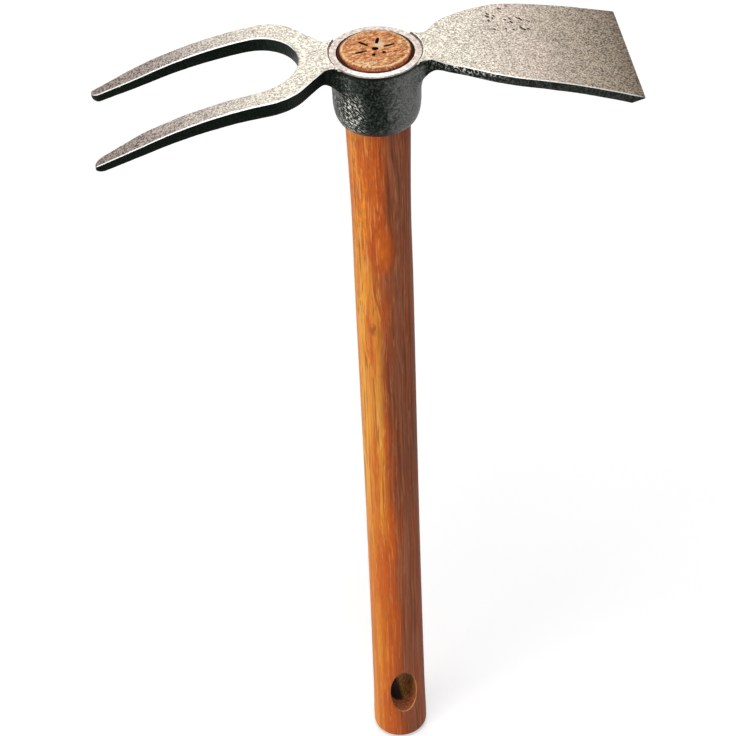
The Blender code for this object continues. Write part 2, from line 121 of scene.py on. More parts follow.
# Plate that runs from the tines through the eye to the blade
RING_STEP = 0.0007
BLADE_NECK_RISE = 0.0018
FORK_NECK_RISE = 0.0008
NECK_RISE_LENGTH = 0.012
NECK_HALF_WIDTH = 0.0101
NECK_CORNER_RADIUS = 0.0045
PLATE_EDGE_RADIUS = 0.0006
EYE_ROOT_HALF_WIDTH = 0.0142
EYE_ROOT_REACH = 0.011
EYE_ROOT_RADIUS = 0.003
BLADE_REACH = 0.1091
BLADE_EDGE_WIDTH = 0.0687
BLADE_CORNER_RADIUS = 0.0005
BLADE_NECK_REACH = 0.0222
BLADE_HEEL_REACH = 0.0285
BLADE_HEEL_WIDTH = 0.0350
BLADE_HEEL_RADIUS = 0.018
BLADE_SHOULDER_REACH = 0.0520
BLADE_SHOULDER_WIDTH = 0.0587
BLADE_SHOULDER_RADIUS = 0.055
BLADE_DROP = 0.0148
BLADE_BEND_START = 0.032
BLADE_BEND_POWER = 1.68
BLADE_THICKNESS = 0.0045
BLADE_GRIND_LENGTH = 0.0055
CUTTING_EDGE_THICKNESS = 0.0006
BLADE_UNDER_FILLET = 0.0127
FORK_REACH = 0.1216
FORK_GAP = 0.0416
TINE_WIDTH = 0.0098
TINE_TIP_WIDTH = 0.0050
TINE_TIP_OUTER_RADIUS = 0.0010
TINE_TIP_INNER_RADIUS = 0.0042
TINE_TIP_OUTER_STEP = 0.0017
TINE_TAPER_REACH = 0.101
TINE_TAPER_RADIUS = 0.060
FORK_NECK_REACH = 0.0214
FORK_SHOULDER_REACH = 0.0388
FORK_SHOULDER_RADIUS = 0.020
FORK_CROTCH_REACH = 0.0328
CROTCH_FLAT = 0.0004
FORK_DROP = 0.0258
FORK_BEND_START = 0.0255
FORK_BEND_LENGTH = 0.080
TINE_THIN_POWER = 1.7
FORK_NECK_THICKNESS = 0.0068
TINE_END_THICKNESS = 0.0039
TINE_GRIND_LENGTH = 0.004
TINE_POINT_THICKNESS = 0.0018
FORK_UNDER_FILLET = 0.0105

# Fineness of the meshes
CHORD_ERROR = 0.000012
SHARP_ANGLE = math.radians(38.0)
PLATE_PITCH = 0.0012
PLATE_EDGE_STEPS = 5
HANDLE_SIDES = 128
HANDLE_PITCH = 0.004
COLLAR_SIDES = 144
SLOT_SIDES = 72
SLOT_MOUTH_STEPS = 4
BLANK_THICKNESS = 0.005
CUT_SPARE = 0.002
SLOT_RUN_OUT = 0.25
CLOSE = 0.000001

# Unevenness that the hammer and the blasting leave on the forging
FORGED_WAVE = 0.00012
FORGED_WAVE_PITCH = 0.011
FORGED_SKIN = 0.00005
FORGED_SKIN_PITCH = 0.0026
FORGED_SINK = 0.0001
MACHINED_REACH = 0.0225

# Heights that follow from the sizes above
BUTT_Z = -SLOT_HEIGHT_ON_HANDLE
WOOD_END_Z = BUTT_Z + HANDLE_LENGTH
RING_Z = WOOD_END_Z - WOOD_PROUD
LIP_Z = RING_Z - COLLAR_HEIGHT

# Camera: a long lens in front of the tool, above it and a little to the left
IMAGE_WIDTH_PX = 736
FOCAL_LENGTH_PX = 2430.6
SENSOR_WIDTH_MM = 36.0
CLIP_START = 0.05
CAMERA_PLACE = (-0.08866617, -0.8652317, 0.55740937)
CAMERA_RIGHT = (0.99217009, -0.12013593, -0.03414474)
CAMERA_UP = (0.10334471, 0.63618869, 0.76458081)
CAMERA_AHEAD = (0.07013112, 0.76212289, -0.64362281)


def mark_smooth(mesh):
    mesh.shade_smooth()
    mesh.set_sharp_from_angle(angle=SHARP_ANGLE)


def add_object(name, data):
    item = bpy.data.objects.new(name, data)
    bpy.context.scene.collection.objects.link(item)
    return item


def finish_object(name, bm):
    """Turn a bmesh into a scene object with its faces pointing out."""
    bmesh.ops.recalc_face_normals(bm, faces=bm.faces)
    mesh = bpy.data.meshes.new(name)
    bm.to_mesh(mesh)
    bm.free()
    mark_smooth(mesh)
    return add_object(name, mesh)


def combine(item, tool, operation):
    """Apply a Boolean at once and remove the tool."""
    modifier = item.modifiers.new(tool.name, "BOOLEAN")
    modifier.operation = operation
    modifier.solver = "EXACT"
    modifier.object = tool
    shaped = item.evaluated_get(bpy.context.evaluated_depsgraph_get())
    mesh = bpy.data.meshes.new_from_object(shaped)
    item.modifiers.clear()
    item.data = mesh
    mesh.name = item.name
    bpy.data.objects.remove(tool, do_unlink=True)
    mark_smooth(mesh)


def turned_bmesh(profile, sides):
    """Spin a profile of (radius, z) points about the Z axis into a closed solid."""
    bm = bmesh.new()
    points = [bm.verts.new((radius, 0.0, z)) for radius, z in profile]
    edges = [bm.edges.new(pair) for pair in zip(points, points[1:])]
    bmesh.ops.spin(
        bm, geom=points + edges, cent=(0.0, 0.0, 0.0), axis=(0.0, 0.0, 1.0),
        angle=math.tau, steps=sides, use_merge=True,
    )
    bmesh.ops.remove_doubles(bm, verts=bm.verts, dist=CLOSE)
    return bm


def join_rings(bm, rings):
    """Close the walls between rings of points that have the same count."""
    for ring, following in zip(rings, rings[1:]):
        for k in range(len(ring)):
            after = (k + 1) % len(ring)
            bm.faces.new((ring[k], ring[after], following[after], following[k]))


def arc_count(radius, turn):
    """Number of chords that keep an arc within the chord error."""
    largest_step = 2.0 * math.acos(max(0.0, 1.0 - CHORD_ERROR / max(radius, 2.0 * CHORD_ERROR)))
    return max(2, math.ceil(abs(turn) / largest_step))


def smooth_value(stations, place):
    """Cubic curve through (place, value) stations, with the slope at each taken from its neighbours."""
    last = len(stations) - 1
    index = 0
    while index < last - 1 and place > stations[index + 1][0]:
        index += 1

    def slope(k):
        before = stations[max(k - 1, 0)]
        after = stations[min(k + 1, last)]
        return (after[1] - before[1]) / (after[0] - before[0])

    (start, low), (end, high) = stations[index], stations[index + 1]
    span = end - start
    t = min(max((place - start) / span, 0.0), 1.0)
    rise = 3.0 * t * t - 2.0 * t ** 3
    lead_in = (t ** 3 - 2.0 * t * t + t) * span * slope(index)
    lead_out = (t ** 3 - t * t) * span * slope(index + 1)
    return low + (high - low) * rise + lead_in + lead_out


def blend(start, end, share):
    return start + (end - start) * min(max(share, 0.0), 1.0)


# Handle

def eye_taper_radius(z):
    share = (z - LIP_Z) / (RING_Z - LIP_Z)
    return WOOD_RADIUS_AT_LIP + (WOOD_RADIUS_AT_FACE - WOOD_RADIUS_AT_LIP) * share


END_FLAT_RADIUS = eye_taper_radius(WOOD_END_Z - END_CHAMFER_HEIGHT) - END_CHAMFER_WIDTH


def handle_radius(z):
    stations = [
        (BUTT_Z + BUTT_FLARE_HEIGHT, BUTT_RADIUS),
        (BUTT_Z + GRIP_HEIGHT, GRIP_RADIUS),
        (BUTT_Z + WAIST_HEIGHT, WAIST_RADIUS),
        (WOOD_END_Z - BELLY_DEPTH, BELLY_RADIUS),
        (WOOD_END_Z - NECK_DEPTH, NECK_RADIUS),
        (LIP_Z, WOOD_RADIUS_AT_LIP),
    ]
    return smooth_value(stations, z)


def handle_profile():
    """Outline of the handle from the middle of the butt to the middle of the wooden end."""
    profile = [(0.0, BUTT_Z)]
    corner_steps = 10
    for step in range(corner_steps + 1):
        angle = 0.5 * math.pi * step / corner_steps
        radius = BUTT_RADIUS - BUTT_EDGE_RADIUS * (1.0 - math.sin(angle))
        profile.append((radius, BUTT_Z + BUTT_EDGE_RADIUS * (1.0 - math.cos(angle))))
    start = BUTT_Z + BUTT_FLARE_HEIGHT
    steps = math.ceil((LIP_Z - start) / HANDLE_PITCH)
    for step in range(steps):
        z = start + (LIP_Z - start) * step / steps
        profile.append((handle_radius(z), z))
    return profile + [
        (WOOD_RADIUS_AT_LIP, LIP_Z),
        (END_FLAT_RADIUS + END_CHAMFER_WIDTH, WOOD_END_Z - END_CHAMFER_HEIGHT),
        (END_FLAT_RADIUS + END_EDGE_WIDTH, WOOD_END_Z - END_EDGE_DROP),
        (END_FLAT_RADIUS - END_EDGE_RUN_IN, WOOD_END_Z),
        (0.0, WOOD_END_Z),
    ]


def slot_outline(opening):
    """Oval in X and Z round the slot's centre: 0 is the slot's own outline and 1 is its mouth's."""
    half_width = 0.5 * (SLOT_WIDTH + (SLOT_MOUTH_WIDTH - SLOT_WIDTH) * opening)
    half_length = 0.5 * (SLOT_LENGTH + (SLOT_MOUTH_LENGTH - SLOT_LENGTH) * opening)
    outline = []
    for step in range(SLOT_SIDES):
        turn = math.tau * step / SLOT_SIDES
        across, along = math.cos(turn), math.sin(turn)
        power = 2.0 / (SLOT_UPPER_FULLNESS if along > 0.0 else SLOT_LOWER_FULLNESS)
        x = math.copysign(abs(across) ** power, across)
        z = math.copysign(abs(along) ** power, along)
        outline.append((half_width * x, half_length * z))
    return outline


def make_slot_cutter():
    """Oval bar through the handle that opens out in a quarter round where it leaves the wood."""
    mouth = []
    for step in range(SLOT_MOUTH_STEPS + 1):
        angle = 0.5 * math.pi * step / SLOT_MOUTH_STEPS
        mouth.append((1.0 - math.cos(angle), -SLOT_MOUTH_DEPTH * (1.0 - math.sin(angle))))
    half = []
    for opening, depth in mouth:
        level = []
        for x, z in slot_outline(opening):
            surface = math.sqrt(max(handle_radius(z) ** 2 - x * x, 0.0))
            level.append((x, surface + depth, z))
        half.append(level)
    half.append([(x, BUTT_RADIUS + CUT_SPARE, z) for x, z in slot_outline(1.0 + SLOT_RUN_OUT)])
    bm = bmesh.new()
    rings = []
    for level in reversed(half):
        rings.append([bm.verts.new((x, -y, z)) for x, y, z in level])
    for level in half:
        rings.append([bm.verts.new(place) for place in level])
    join_rings(bm, rings)
    bm.faces.new(rings[0])
    bm.faces.new(rings[-1])
    bmesh.ops.rotate(bm, verts=bm.verts, cent=(0.0, 0.0, 0.0), matrix=Matrix.Rotation(SLOT_TURN, 3, "Z"))
    return finish_object("slot_cutter", bm)


def add_centre_hole(bm, top):
    """Slightly uneven hole with a pointed floor that opens out at the end grain."""
    floor = WOOD_END_Z - CENTRE_HOLE_DEPTH
    levels = (
        (floor + CENTRE_HOLE_RADIUS, 1.0),
        (WOOD_END_Z - CENTRE_HOLE_FLARE_DEPTH, 1.0),
        (top, CENTRE_HOLE_FLARE),
    )
    rings = []
    for z, grow in levels:
        ring = []
        for k in range(CENTRE_HOLE_SIDES):
            angle = math.tau * k / CENTRE_HOLE_SIDES
            x, y = math.cos(angle), math.sin(angle)
            lobe = (CENTRE_HOLE_LOBES * x, CENTRE_HOLE_LOBES * y, CENTRE_HOLE_SEED)
            radius = CENTRE_HOLE_RADIUS * grow * (1.0 + CENTRE_HOLE_UNEVENNESS * noise.noise(lobe))
            ring.append(bm.verts.new((radius * x, radius * y, z)))
        rings.append(ring)
    point = bm.verts.new((0.0, 0.0, floor))
    join_rings(bm, rings)
    for k in range(CENTRE_HOLE_SIDES):
        bm.faces.new((point, rings[0][(k + 1) % CENTRE_HOLE_SIDES], rings[0][k]))
    bm.faces.new(rings[-1])


def mark_outline(reach):
    """One drive mark as (distance from the centre, sideways) points: a slot that narrows to both ends."""
    upper = []
    for step in range(DRIVE_MARK_STEPS + 1):
        share = step / DRIVE_MARK_STEPS
        swell = math.sin(math.pi * blend(*DRIVE_MARK_SWELL, share))
        half = 0.5 * DRIVE_MARK_WIDTH * blend(DRIVE_MARK_END_SHARE, 1.0, swell)
        upper.append((blend(DRIVE_MARK_INNER, reach, share), half))
    lower = [(along, -half) for along, half in reversed(upper)]
    return lower[::-1] + upper[::-1]


def add_drive_mark(bm, reach, angle, top):
    """Radial slot with leaning walls, given as (share of the depth, share of the width)."""
    out = Vector((math.cos(angle), math.sin(angle), 0.0))
    across = Vector((-out.y, out.x, 0.0))
    levels = [(WOOD_END_Z - share * DRIVE_MARK_DEPTH, widen) for share, widen in DRIVE_MARK_WALLS]
    rings = []
    for z, widen in (*levels, (top, DRIVE_MARK_SPREAD)):
        ring = []
        for along, side in mark_outline(reach):
            place = out * along + across * (side * widen)
            ring.append(bm.verts.new((place.x, place.y, z)))
        rings.append(ring)
    bm.faces.new(rings[0][::-1])
    bm.faces.new(rings[-1])
    join_rings(bm, rings)


def make_end_mark_cutter():
    """Centre hole and radial slots that a lathe's drive centre leaves in the end grain."""
    bm = bmesh.new()
    top = WOOD_END_Z + CUT_SPARE
    add_centre_hole(bm, top)
    for mark, reach in enumerate(DRIVE_MARK_OUTER):
        add_drive_mark(bm, reach, DRIVE_MARK_TURN + math.tau * mark / len(DRIVE_MARK_OUTER), top)
    return finish_object("end_mark_cutter", bm)


def make_handle():
    handle = finish_object("handle_turned", turned_bmesh(handle_profile(), HANDLE_SIDES))
    combine(handle, make_slot_cutter(), "DIFFERENCE")
    combine(handle, make_end_mark_cutter(), "DIFFERENCE")
    return handle


# Forged head

def head_corners():
    """Corners of the head's plan outline as (x, y, fillet radius), anticlockwise from the blade."""
    half_edge = 0.5 * BLADE_EDGE_WIDTH
    half_gap = 0.5 * FORK_GAP
    outer = half_gap + TINE_WIDTH
    tip_outer = outer - TINE_TIP_OUTER_STEP
    tip_inner = tip_outer - TINE_TIP_WIDTH
    crotch_radius = half_gap - 0.5 * CROTCH_FLAT
    upper = [
        (BLADE_REACH, half_edge, BLADE_CORNER_RADIUS),
        (BLADE_SHOULDER_REACH, 0.5 * BLADE_SHOULDER_WIDTH, BLADE_SHOULDER_RADIUS),
        (BLADE_HEEL_REACH, 0.5 * BLADE_HEEL_WIDTH, BLADE_HEEL_RADIUS),
        (BLADE_NECK_REACH, NECK_HALF_WIDTH, NECK_CORNER_RADIUS),
        (EYE_ROOT_REACH, EYE_ROOT_HALF_WIDTH, EYE_ROOT_RADIUS),
        (-EYE_ROOT_REACH, EYE_ROOT_HALF_WIDTH, EYE_ROOT_RADIUS),
        (-FORK_NECK_REACH, NECK_HALF_WIDTH, NECK_CORNER_RADIUS),
        (-FORK_SHOULDER_REACH, outer, FORK_SHOULDER_RADIUS),
        (-TINE_TAPER_REACH, outer, TINE_TAPER_RADIUS),
        (-FORK_REACH, tip_outer, TINE_TIP_OUTER_RADIUS),
        (-FORK_REACH, tip_inner, TINE_TIP_INNER_RADIUS),
        (-TINE_TAPER_REACH, half_gap, TINE_TAPER_RADIUS),
        (-FORK_CROTCH_REACH, half_gap, crotch_radius),
    ]
    lower = [(x, -y, radius) for x, y, radius in reversed(upper)]
    return upper + lower


def rounded_outline(corners, inset):
    """Closed outline through filleted corners, moved inwards by inset, with the same count at any inset."""
    points = []
    count = len(corners)
    for k, (x, y, radius) in enumerate(corners):
        here = Vector((x, y))
        into = (here - Vector(corners[k - 1][:2])).normalized()
        away = (Vector(corners[(k + 1) % count][:2]) - here).normalized()
        normal_in = Vector((-into.y, into.x))
        normal_out = Vector((-away.y, away.x))
        turn = math.atan2(into.x * away.y - into.y * away.x, into.dot(away))
        side = 1.0 if turn > 0.0 else -1.0
        to_centre = (normal_in + normal_out) / (1.0 + normal_in.dot(normal_out))
        centre = here + to_centre * (side * radius)
        reach = radius - side * inset
        first = math.atan2(-side * normal_in.y, -side * normal_in.x)
        steps = arc_count(radius, turn)
        for step in range(steps + 1):
            angle = first + turn * step / steps
            points.append((centre.x + reach * math.cos(angle), centre.y + reach * math.sin(angle)))
    return points


def bent_drop(along):
    """Drop of a bar that bends evenly over the fork's bend length and is straight from there on."""
    bent = min(max(along, 0.0), FORK_BEND_LENGTH)
    return 0.5 * bent * bent + FORK_BEND_LENGTH * max(0.0, along - FORK_BEND_LENGTH)


def crown_height(x):
    """Height of the plate's top above the ring face: it climbs off the ring, then droops to both ends."""
    climb = min(max((abs(x) - RING_RADIUS) / NECK_RISE_LENGTH, 0.0), 1.0)
    climb = climb * climb * (3.0 - 2.0 * climb)
    if x > 0.0:
        share = max(0.0, (x - BLADE_BEND_START) / (BLADE_REACH - BLADE_BEND_START))
        return RING_STEP + (BLADE_NECK_RISE - RING_STEP) * climb - BLADE_DROP * share ** BLADE_BEND_POWER
    share = bent_drop(-x - FORK_BEND_START) / bent_drop(FORK_REACH - FORK_BEND_START)
    return RING_STEP + (FORK_NECK_RISE - RING_STEP) * climb - FORK_DROP * share


def plate_thickness(x):
    """Thickness along the head, with the grinds that sharpen the blade and the tines from below."""
    if x > 0.0:
        ground = (x - BLADE_REACH + BLADE_GRIND_LENGTH) / BLADE_GRIND_LENGTH
        return blend(BLADE_THICKNESS, CUTTING_EDGE_THICKNESS, ground)
    along = max(0.0, (-x - FORK_CROTCH_REACH) / (FORK_REACH - FORK_CROTCH_REACH))
    body = blend(FORK_NECK_THICKNESS, TINE_END_THICKNESS, along ** TINE_THIN_POWER)
    ground = max(0.0, (-x - FORK_REACH + TINE_GRIND_LENGTH) / TINE_GRIND_LENGTH)
    return blend(body, TINE_POINT_THICKNESS, ground * ground)


def under_fillet_depth(x, y):
    """Extra depth where the underside of a neck sweeps down into the collar."""
    fillet = BLADE_UNDER_FILLET if x > 0.0 else FORK_UNDER_FILLET
    beyond = COLLAR_SHOULDER_RADIUS + fillet - math.hypot(x, y)
    if beyond <= 0.0:
        return 0.0
    beyond = min(beyond, fillet)
    return fillet - math.sqrt(fillet * fillet - beyond * beyond)


def cut_across(bm, place, normal):
    parts = bm.verts[:] + bm.edges[:] + bm.faces[:]
    bmesh.ops.bisect_plane(bm, geom=parts, plane_co=place, plane_no=normal, dist=CLOSE)


def make_plate():
    """Blade, necks and fork in one piece: a flat outline with rounded edges, cut across, then bent."""
    corners = head_corners()
    levels = []
    for step in range(PLATE_EDGE_STEPS + 1):
        angle = 0.5 * math.pi * step / PLATE_EDGE_STEPS
        inset = PLATE_EDGE_RADIUS * (1.0 - math.sin(angle))
        levels.append((inset, PLATE_EDGE_RADIUS * (1.0 - math.cos(angle))))
    levels += [(inset, BLANK_THICKNESS - height) for inset, height in reversed(levels)]
    bm = bmesh.new()
    rings = []
    for inset, z in levels:
        rings.append([bm.verts.new((px, py, z)) for px, py in rounded_outline(corners, inset)])
    join_rings(bm, rings)
    bm.faces.new(rings[0][::-1])
    bm.faces.new(rings[-1])
    length = BLADE_REACH + FORK_REACH
    columns = math.ceil(length / PLATE_PITCH)
    for k in range(1, columns):
        cut_across(bm, (length * k / columns - FORK_REACH, 0.0, 0.0), (1.0, 0.0, 0.0))
    for x in (BLADE_REACH - BLADE_GRIND_LENGTH, TINE_GRIND_LENGTH - FORK_REACH):
        cut_across(bm, (x, 0.0, 0.0), (1.0, 0.0, 0.0))
    rows = math.ceil(BLADE_EDGE_WIDTH / PLATE_PITCH)
    for k in range(1, rows):
        cut_across(bm, (0.0, BLADE_EDGE_WIDTH * (k / rows - 0.5), 0.0), (0.0, 1.0, 0.0))
    bmesh.ops.triangulate(bm, faces=bm.faces)
    for vert in bm.verts:
        x, y, height = vert.co
        share_below = 1.0 - height / BLANK_THICKNESS
        thickness = plate_thickness(x) + under_fillet_depth(x, y)
        vert.co.z = RING_Z + crown_height(x) - share_below * thickness
    return bm


def collar_profile():
    """Bell of the eye: it flares up to the ring and rounds in to the lip, filled in the middle."""
    blank_top = RING_Z + 0.5 * RING_STEP
    profile = [(0.0, blank_top), (RING_RADIUS, blank_top)]
    flare_steps = 14
    for step in range(flare_steps + 1):
        share = step / flare_steps
        radius = COLLAR_SHOULDER_RADIUS + (RING_RADIUS - COLLAR_SHOULDER_RADIUS) * (1.0 - share) ** 2
        depth = blend(RING_EDGE_CHAMFER, COLLAR_FLARE_DEPTH, share)
        profile.append((radius, RING_Z - depth))
    wall_steps = 6
    for step in range(1, wall_steps):
        share = step / wall_steps
        radius = blend(COLLAR_SHOULDER_RADIUS, COLLAR_WAIST_RADIUS, share)
        profile.append((radius, RING_Z - blend(COLLAR_FLARE_DEPTH, COLLAR_WAIST_DEPTH, share)))
    lip_radius = WOOD_RADIUS_AT_LIP + EYE_CLEARANCE + COLLAR_LIP_WIDTH
    round_steps = 16
    for step in range(round_steps + 1):
        angle = 0.5 * math.pi * step / round_steps
        radius = lip_radius + (COLLAR_WAIST_RADIUS - lip_radius) * math.cos(angle)
        depth = COLLAR_WAIST_DEPTH + (COLLAR_HEIGHT - COLLAR_WAIST_DEPTH) * math.sin(angle)
        profile.append((radius, RING_Z - depth))
    return profile + [(0.0, LIP_Z)]


def roughen(item):
    """Give the mesh the uneven skin of a drop forging, but not near the machined ring or the ends."""
    mesh = item.data
    normals = [Vector(vert.normal) for vert in mesh.vertices]
    for vert, normal in zip(mesh.vertices, normals):
        place = Vector(vert.co)
        keep = 1.0
        if math.hypot(place.x, place.y) < MACHINED_REACH:
            keep = min(abs(place.z - RING_Z) / FORGED_SKIN_PITCH, 1.0)
        end = BLADE_REACH if place.x > 0.0 else FORK_REACH
        keep *= min(max((end - abs(place.x)) / FORGED_WAVE_PITCH, 0.0), 1.0)
        wave = noise.noise(place / FORGED_WAVE_PITCH)
        skin = noise.noise(place / FORGED_SKIN_PITCH)
        swell = FORGED_WAVE * wave + FORGED_SKIN * skin - FORGED_SINK * max(normal.z, 0.0)
        vert.co = place + normal * (keep * swell)
    mesh.update()


def make_bore_cutter():
    """Tapered eye: the wood's own taper plus the clearance."""
    low, high = LIP_Z - CUT_SPARE, RING_Z + CUT_SPARE
    wall = [(eye_taper_radius(z) + EYE_CLEARANCE, z) for z in (low, high)]
    profile = [(0.0, low), *wall, (0.0, high)]
    return finish_object("bore_cutter", turned_bmesh(profile, COLLAR_SIDES))


def make_spot_face_cutter():
    """Levels the ring, takes its outer edge off and steps it down below the necks."""
    outer = RING_RADIUS + SPOT_FACE_MARGIN
    groove_z = RING_Z - RING_EDGE_CHAMFER
    profile = [
        (0.0, RING_Z),
        (RING_RADIUS - RING_EDGE_CHAMFER, RING_Z),
        (RING_RADIUS, groove_z),
        (outer, groove_z),
        (outer, RING_Z + CUT_SPARE),
        (0.0, RING_Z + CUT_SPARE),
    ]
    return finish_object("spot_face_cutter", turned_bmesh(profile, COLLAR_SIDES))


def make_head():
    head = finish_object("head_forging", make_plate())
    collar = finish_object("collar_blank", turned_bmesh(collar_profile(), COLLAR_SIDES))
    combine(head, collar, "UNION")
    roughen(head)
    combine(head, make_spot_face_cutter(), "DIFFERENCE")
    combine(head, make_bore_cutter(), "DIFFERENCE")
    return head


# Materials

# Places of the colour sockets on a Mix node
MIX_FIRST_COLOUR = 6
MIX_SECOND_COLOUR = 7
MIX_COLOUR_RESULT = 2


class Field:
    """Value of a shader node all over a surface; arithmetic on it adds Math nodes to the same tree."""

    def __init__(self, nodes, socket):
        self.nodes = nodes
        self.socket = socket

    def __add__(self, other):
        return self.nodes.math("ADD", self, other)

    def __sub__(self, other):
        return self.nodes.math("SUBTRACT", self, other)

    def __rsub__(self, other):
        return self.nodes.math("SUBTRACT", other, self)

    def __mul__(self, other):
        return self.nodes.math("MULTIPLY", self, other)

    def __truediv__(self, other):
        return self.nodes.math("DIVIDE", self, other)

    def __abs__(self):
        return self.nodes.math("ABSOLUTE", self)

    def step(self, start, full):
        """0 at start and 1 at full, with a smooth run between; full may be the lower of the two."""
        node = self.nodes.new("MapRange")
        node.interpolation_type = "SMOOTHSTEP"
        low, high = (0.0, 1.0) if start < full else (1.0, 0.0)
        inputs = {"From Min": min(start, full), "From Max": max(start, full), "To Min": low, "To Max": high}
        return self.nodes.fill(node, {"Value": self, **inputs}, "Result")

    def band(self, low, high, soft):
        """1 between low and high, with soft ends."""
        return self.step(low - soft, low + soft) * self.step(high + soft, high - soft)

    def between(self, low, high):
        """Low where this share is 0 and high where it is 1."""
        return self * (high - low) + low

    def swing(self, amount):
        """Turn a noise, which runs round a half, into one that runs round zero."""
        return (self - 0.5) * amount


class Nodes:
    """Short names for the nodes of one material or world."""

    def __init__(self, owner):
        owner.use_nodes = True
        self.tree = owner.node_tree

    def new(self, kind):
        return self.tree.nodes.new("ShaderNode" + kind)

    def feed(self, socket, value):
        """Link a field to an input, or set the input to a constant."""
        if isinstance(value, Field):
            self.tree.links.new(value.socket, socket)
        elif socket.type == "RGBA":
            socket.default_value = (*value, 1.0)
        else:
            socket.default_value = value

    def fill(self, node, inputs, output=0):
        """Feed a node's inputs and give one of its outputs."""
        for key, value in inputs.items():
            self.feed(node.inputs[key], value)
        return Field(self, node.outputs[output])

    def math(self, operation, *values):
        node = self.new("Math")
        node.operation = operation
        return self.fill(node, dict(enumerate(values)))

    def larger(self, first, second):
        return self.math("MAXIMUM", first, second)

    def smaller(self, first, second):
        return self.math("MINIMUM", first, second)


class Skin(Nodes):
    """Material of one piece, with the place, the normal and the distance from the handle's axis."""

    def __init__(self, name):
        self.material = bpy.data.materials.new(name)
        super().__init__(self.material)
        self.shader = self.tree.nodes["Principled BSDF"]
        coordinates = self.new("TexCoord")
        self.place = Field(self, coordinates.outputs["Object"])
        self.x, self.y, self.z = self.split(self.place)
        normal = Field(self, coordinates.outputs["Normal"])
        self.normal_x, self.normal_y, self.normal_z = self.split(normal)
        self.reach = self.math("SQRT", self.x * self.x + self.y * self.y)

    def split(self, value):
        node = self.new("SeparateXYZ")
        self.feed(node.inputs[0], value)
        return [Field(self, output) for output in node.outputs]

    def join(self, x, y, z):
        return self.fill(self.new("CombineXYZ"), {0: x, 1: y, 2: z})

    def noise(self, place, scale, detail=2.0, roughness=0.5):
        inputs = {"Vector": place, "Scale": scale, "Detail": detail, "Roughness": roughness}
        return self.fill(self.new("TexNoise"), inputs, "Fac")

    def cells(self, place, scale):
        return self.fill(self.new("TexVoronoi"), {"Vector": place, "Scale": scale}, "Distance")

    def spot(self, first, second, patch):
        """1 in the middle of a patch and 0 round it; a patch is (centre, reach) along each value."""
        away = [(value - centre) / reach for value, (centre, reach) in zip((first, second), patch)]
        return (away[0] * away[0] + away[1] * away[1]).step(1.0, 0.0)

    def patches(self, scale, start, full, detail=2.0, roughness=0.5):
        """Soft patches of a noise: 1 where it is beyond full and 0 where it falls short of start."""
        return self.noise(self.place, scale, detail, roughness).step(start, full)

    def mix(self, share, first, second):
        node = self.new("Mix")
        node.data_type = "RGBA"
        inputs = {"Factor": share, MIX_FIRST_COLOUR: first, MIX_SECOND_COLOUR: second}
        return self.fill(node, inputs, MIX_COLOUR_RESULT)

    def layered(self, colour, *layers):
        """Lay colours over one another, each given as (share, colour)."""
        for share, over in layers:
            colour = self.mix(share, colour, over)
        return colour

    def ramp(self, value, stops):
        node = self.new("ValToRGB")
        elements = node.color_ramp.elements
        for place, colour in stops[1:-1]:
            elements.new(place)
        for element, (place, colour) in zip(elements, stops):
            element.position = place
            element.color = (*colour, 1.0)
        return self.fill(node, {"Fac": value}, "Color")

    def shade(self, colour, amount):
        """Multiply a colour by a grey amount."""
        node = self.new("VectorMath")
        node.operation = "SCALE"
        return self.fill(node, {0: colour, "Scale": amount})

    def bump(self, height, distance):
        return self.fill(self.new("Bump"), {"Distance": distance, "Height": height}, "Normal")


# In the materials below, a number that is written out is a share or a direction: how far a noise, a normal
# or a tone has to go, or how much of a colour is laid on. Places, in metres, and noise scales have names.

# Colours of the forging, linear; the upper faces run from pale at the eye to brown at the working ends,
# partly a brown film on the worked ends and partly painted shade where the ends droop away from the
# overhead light
TOP_ALONG = (
    (-0.1150, (0.262, 0.205, 0.175)),
    (-0.0980, (0.312, 0.258, 0.230)),
    (-0.0800, (0.405, 0.351, 0.312)),
    (-0.0630, (0.448, 0.403, 0.349)),
    (-0.0360, (0.437, 0.407, 0.348)),
    (0.0150, (0.429, 0.392, 0.333)),
    (0.0350, (0.426, 0.389, 0.329)),
    (0.0660, (0.408, 0.342, 0.287)),
    (0.0850, (0.311, 0.259, 0.202)),
    (0.1000, (0.240, 0.193, 0.142)),
    (0.1085, (0.158, 0.115, 0.081)),
)
GREEN_TINT = (0.330, 0.370, 0.310)
RING_STEEL = (0.320, 0.276, 0.245)
RING_FRONT_HIGHLIGHT = (0.334, 0.316, 0.302)
ARRIS_HIGHLIGHT = (0.950, 0.940, 0.920)
FORGE_SCALE_AND_SHADE = (0.0036, 0.0068, 0.0044)
GREY_SCALE_AND_SHEEN = (0.100, 0.103, 0.098)
FLECK_AND_GLINT = (0.620, 0.615, 0.570)
PIT_COLOUR = (0.016, 0.012, 0.010)
GROOVE_DIRT_AND_SHADE = (0.110, 0.095, 0.080)

# Scales of the steel's noises
GRAIN_SCALE = 1200.0
CLOUD_SCALE = 230.0
TINT_SCALE = 610.0
PITTED_SCALE = 45.0
PIT_SCALE = 440.0
PIT_GAP_SCALE = 300.0
MOTTLE_SCALE = 950.0
GREY_EDGE_SCALE = 420.0
GRIT_SCALE = 1500.0
STROKE_SCALE = 1500.0
GLINT_PATCH_SCALE = 260.0
WORN_SIDE_SCALE = 1100.0
RAGGED_SCALE = 700.0
RING_SCALE = 850.0
DIRT_SCALE = 600.0
STEEL_RELIEF = 0.00045

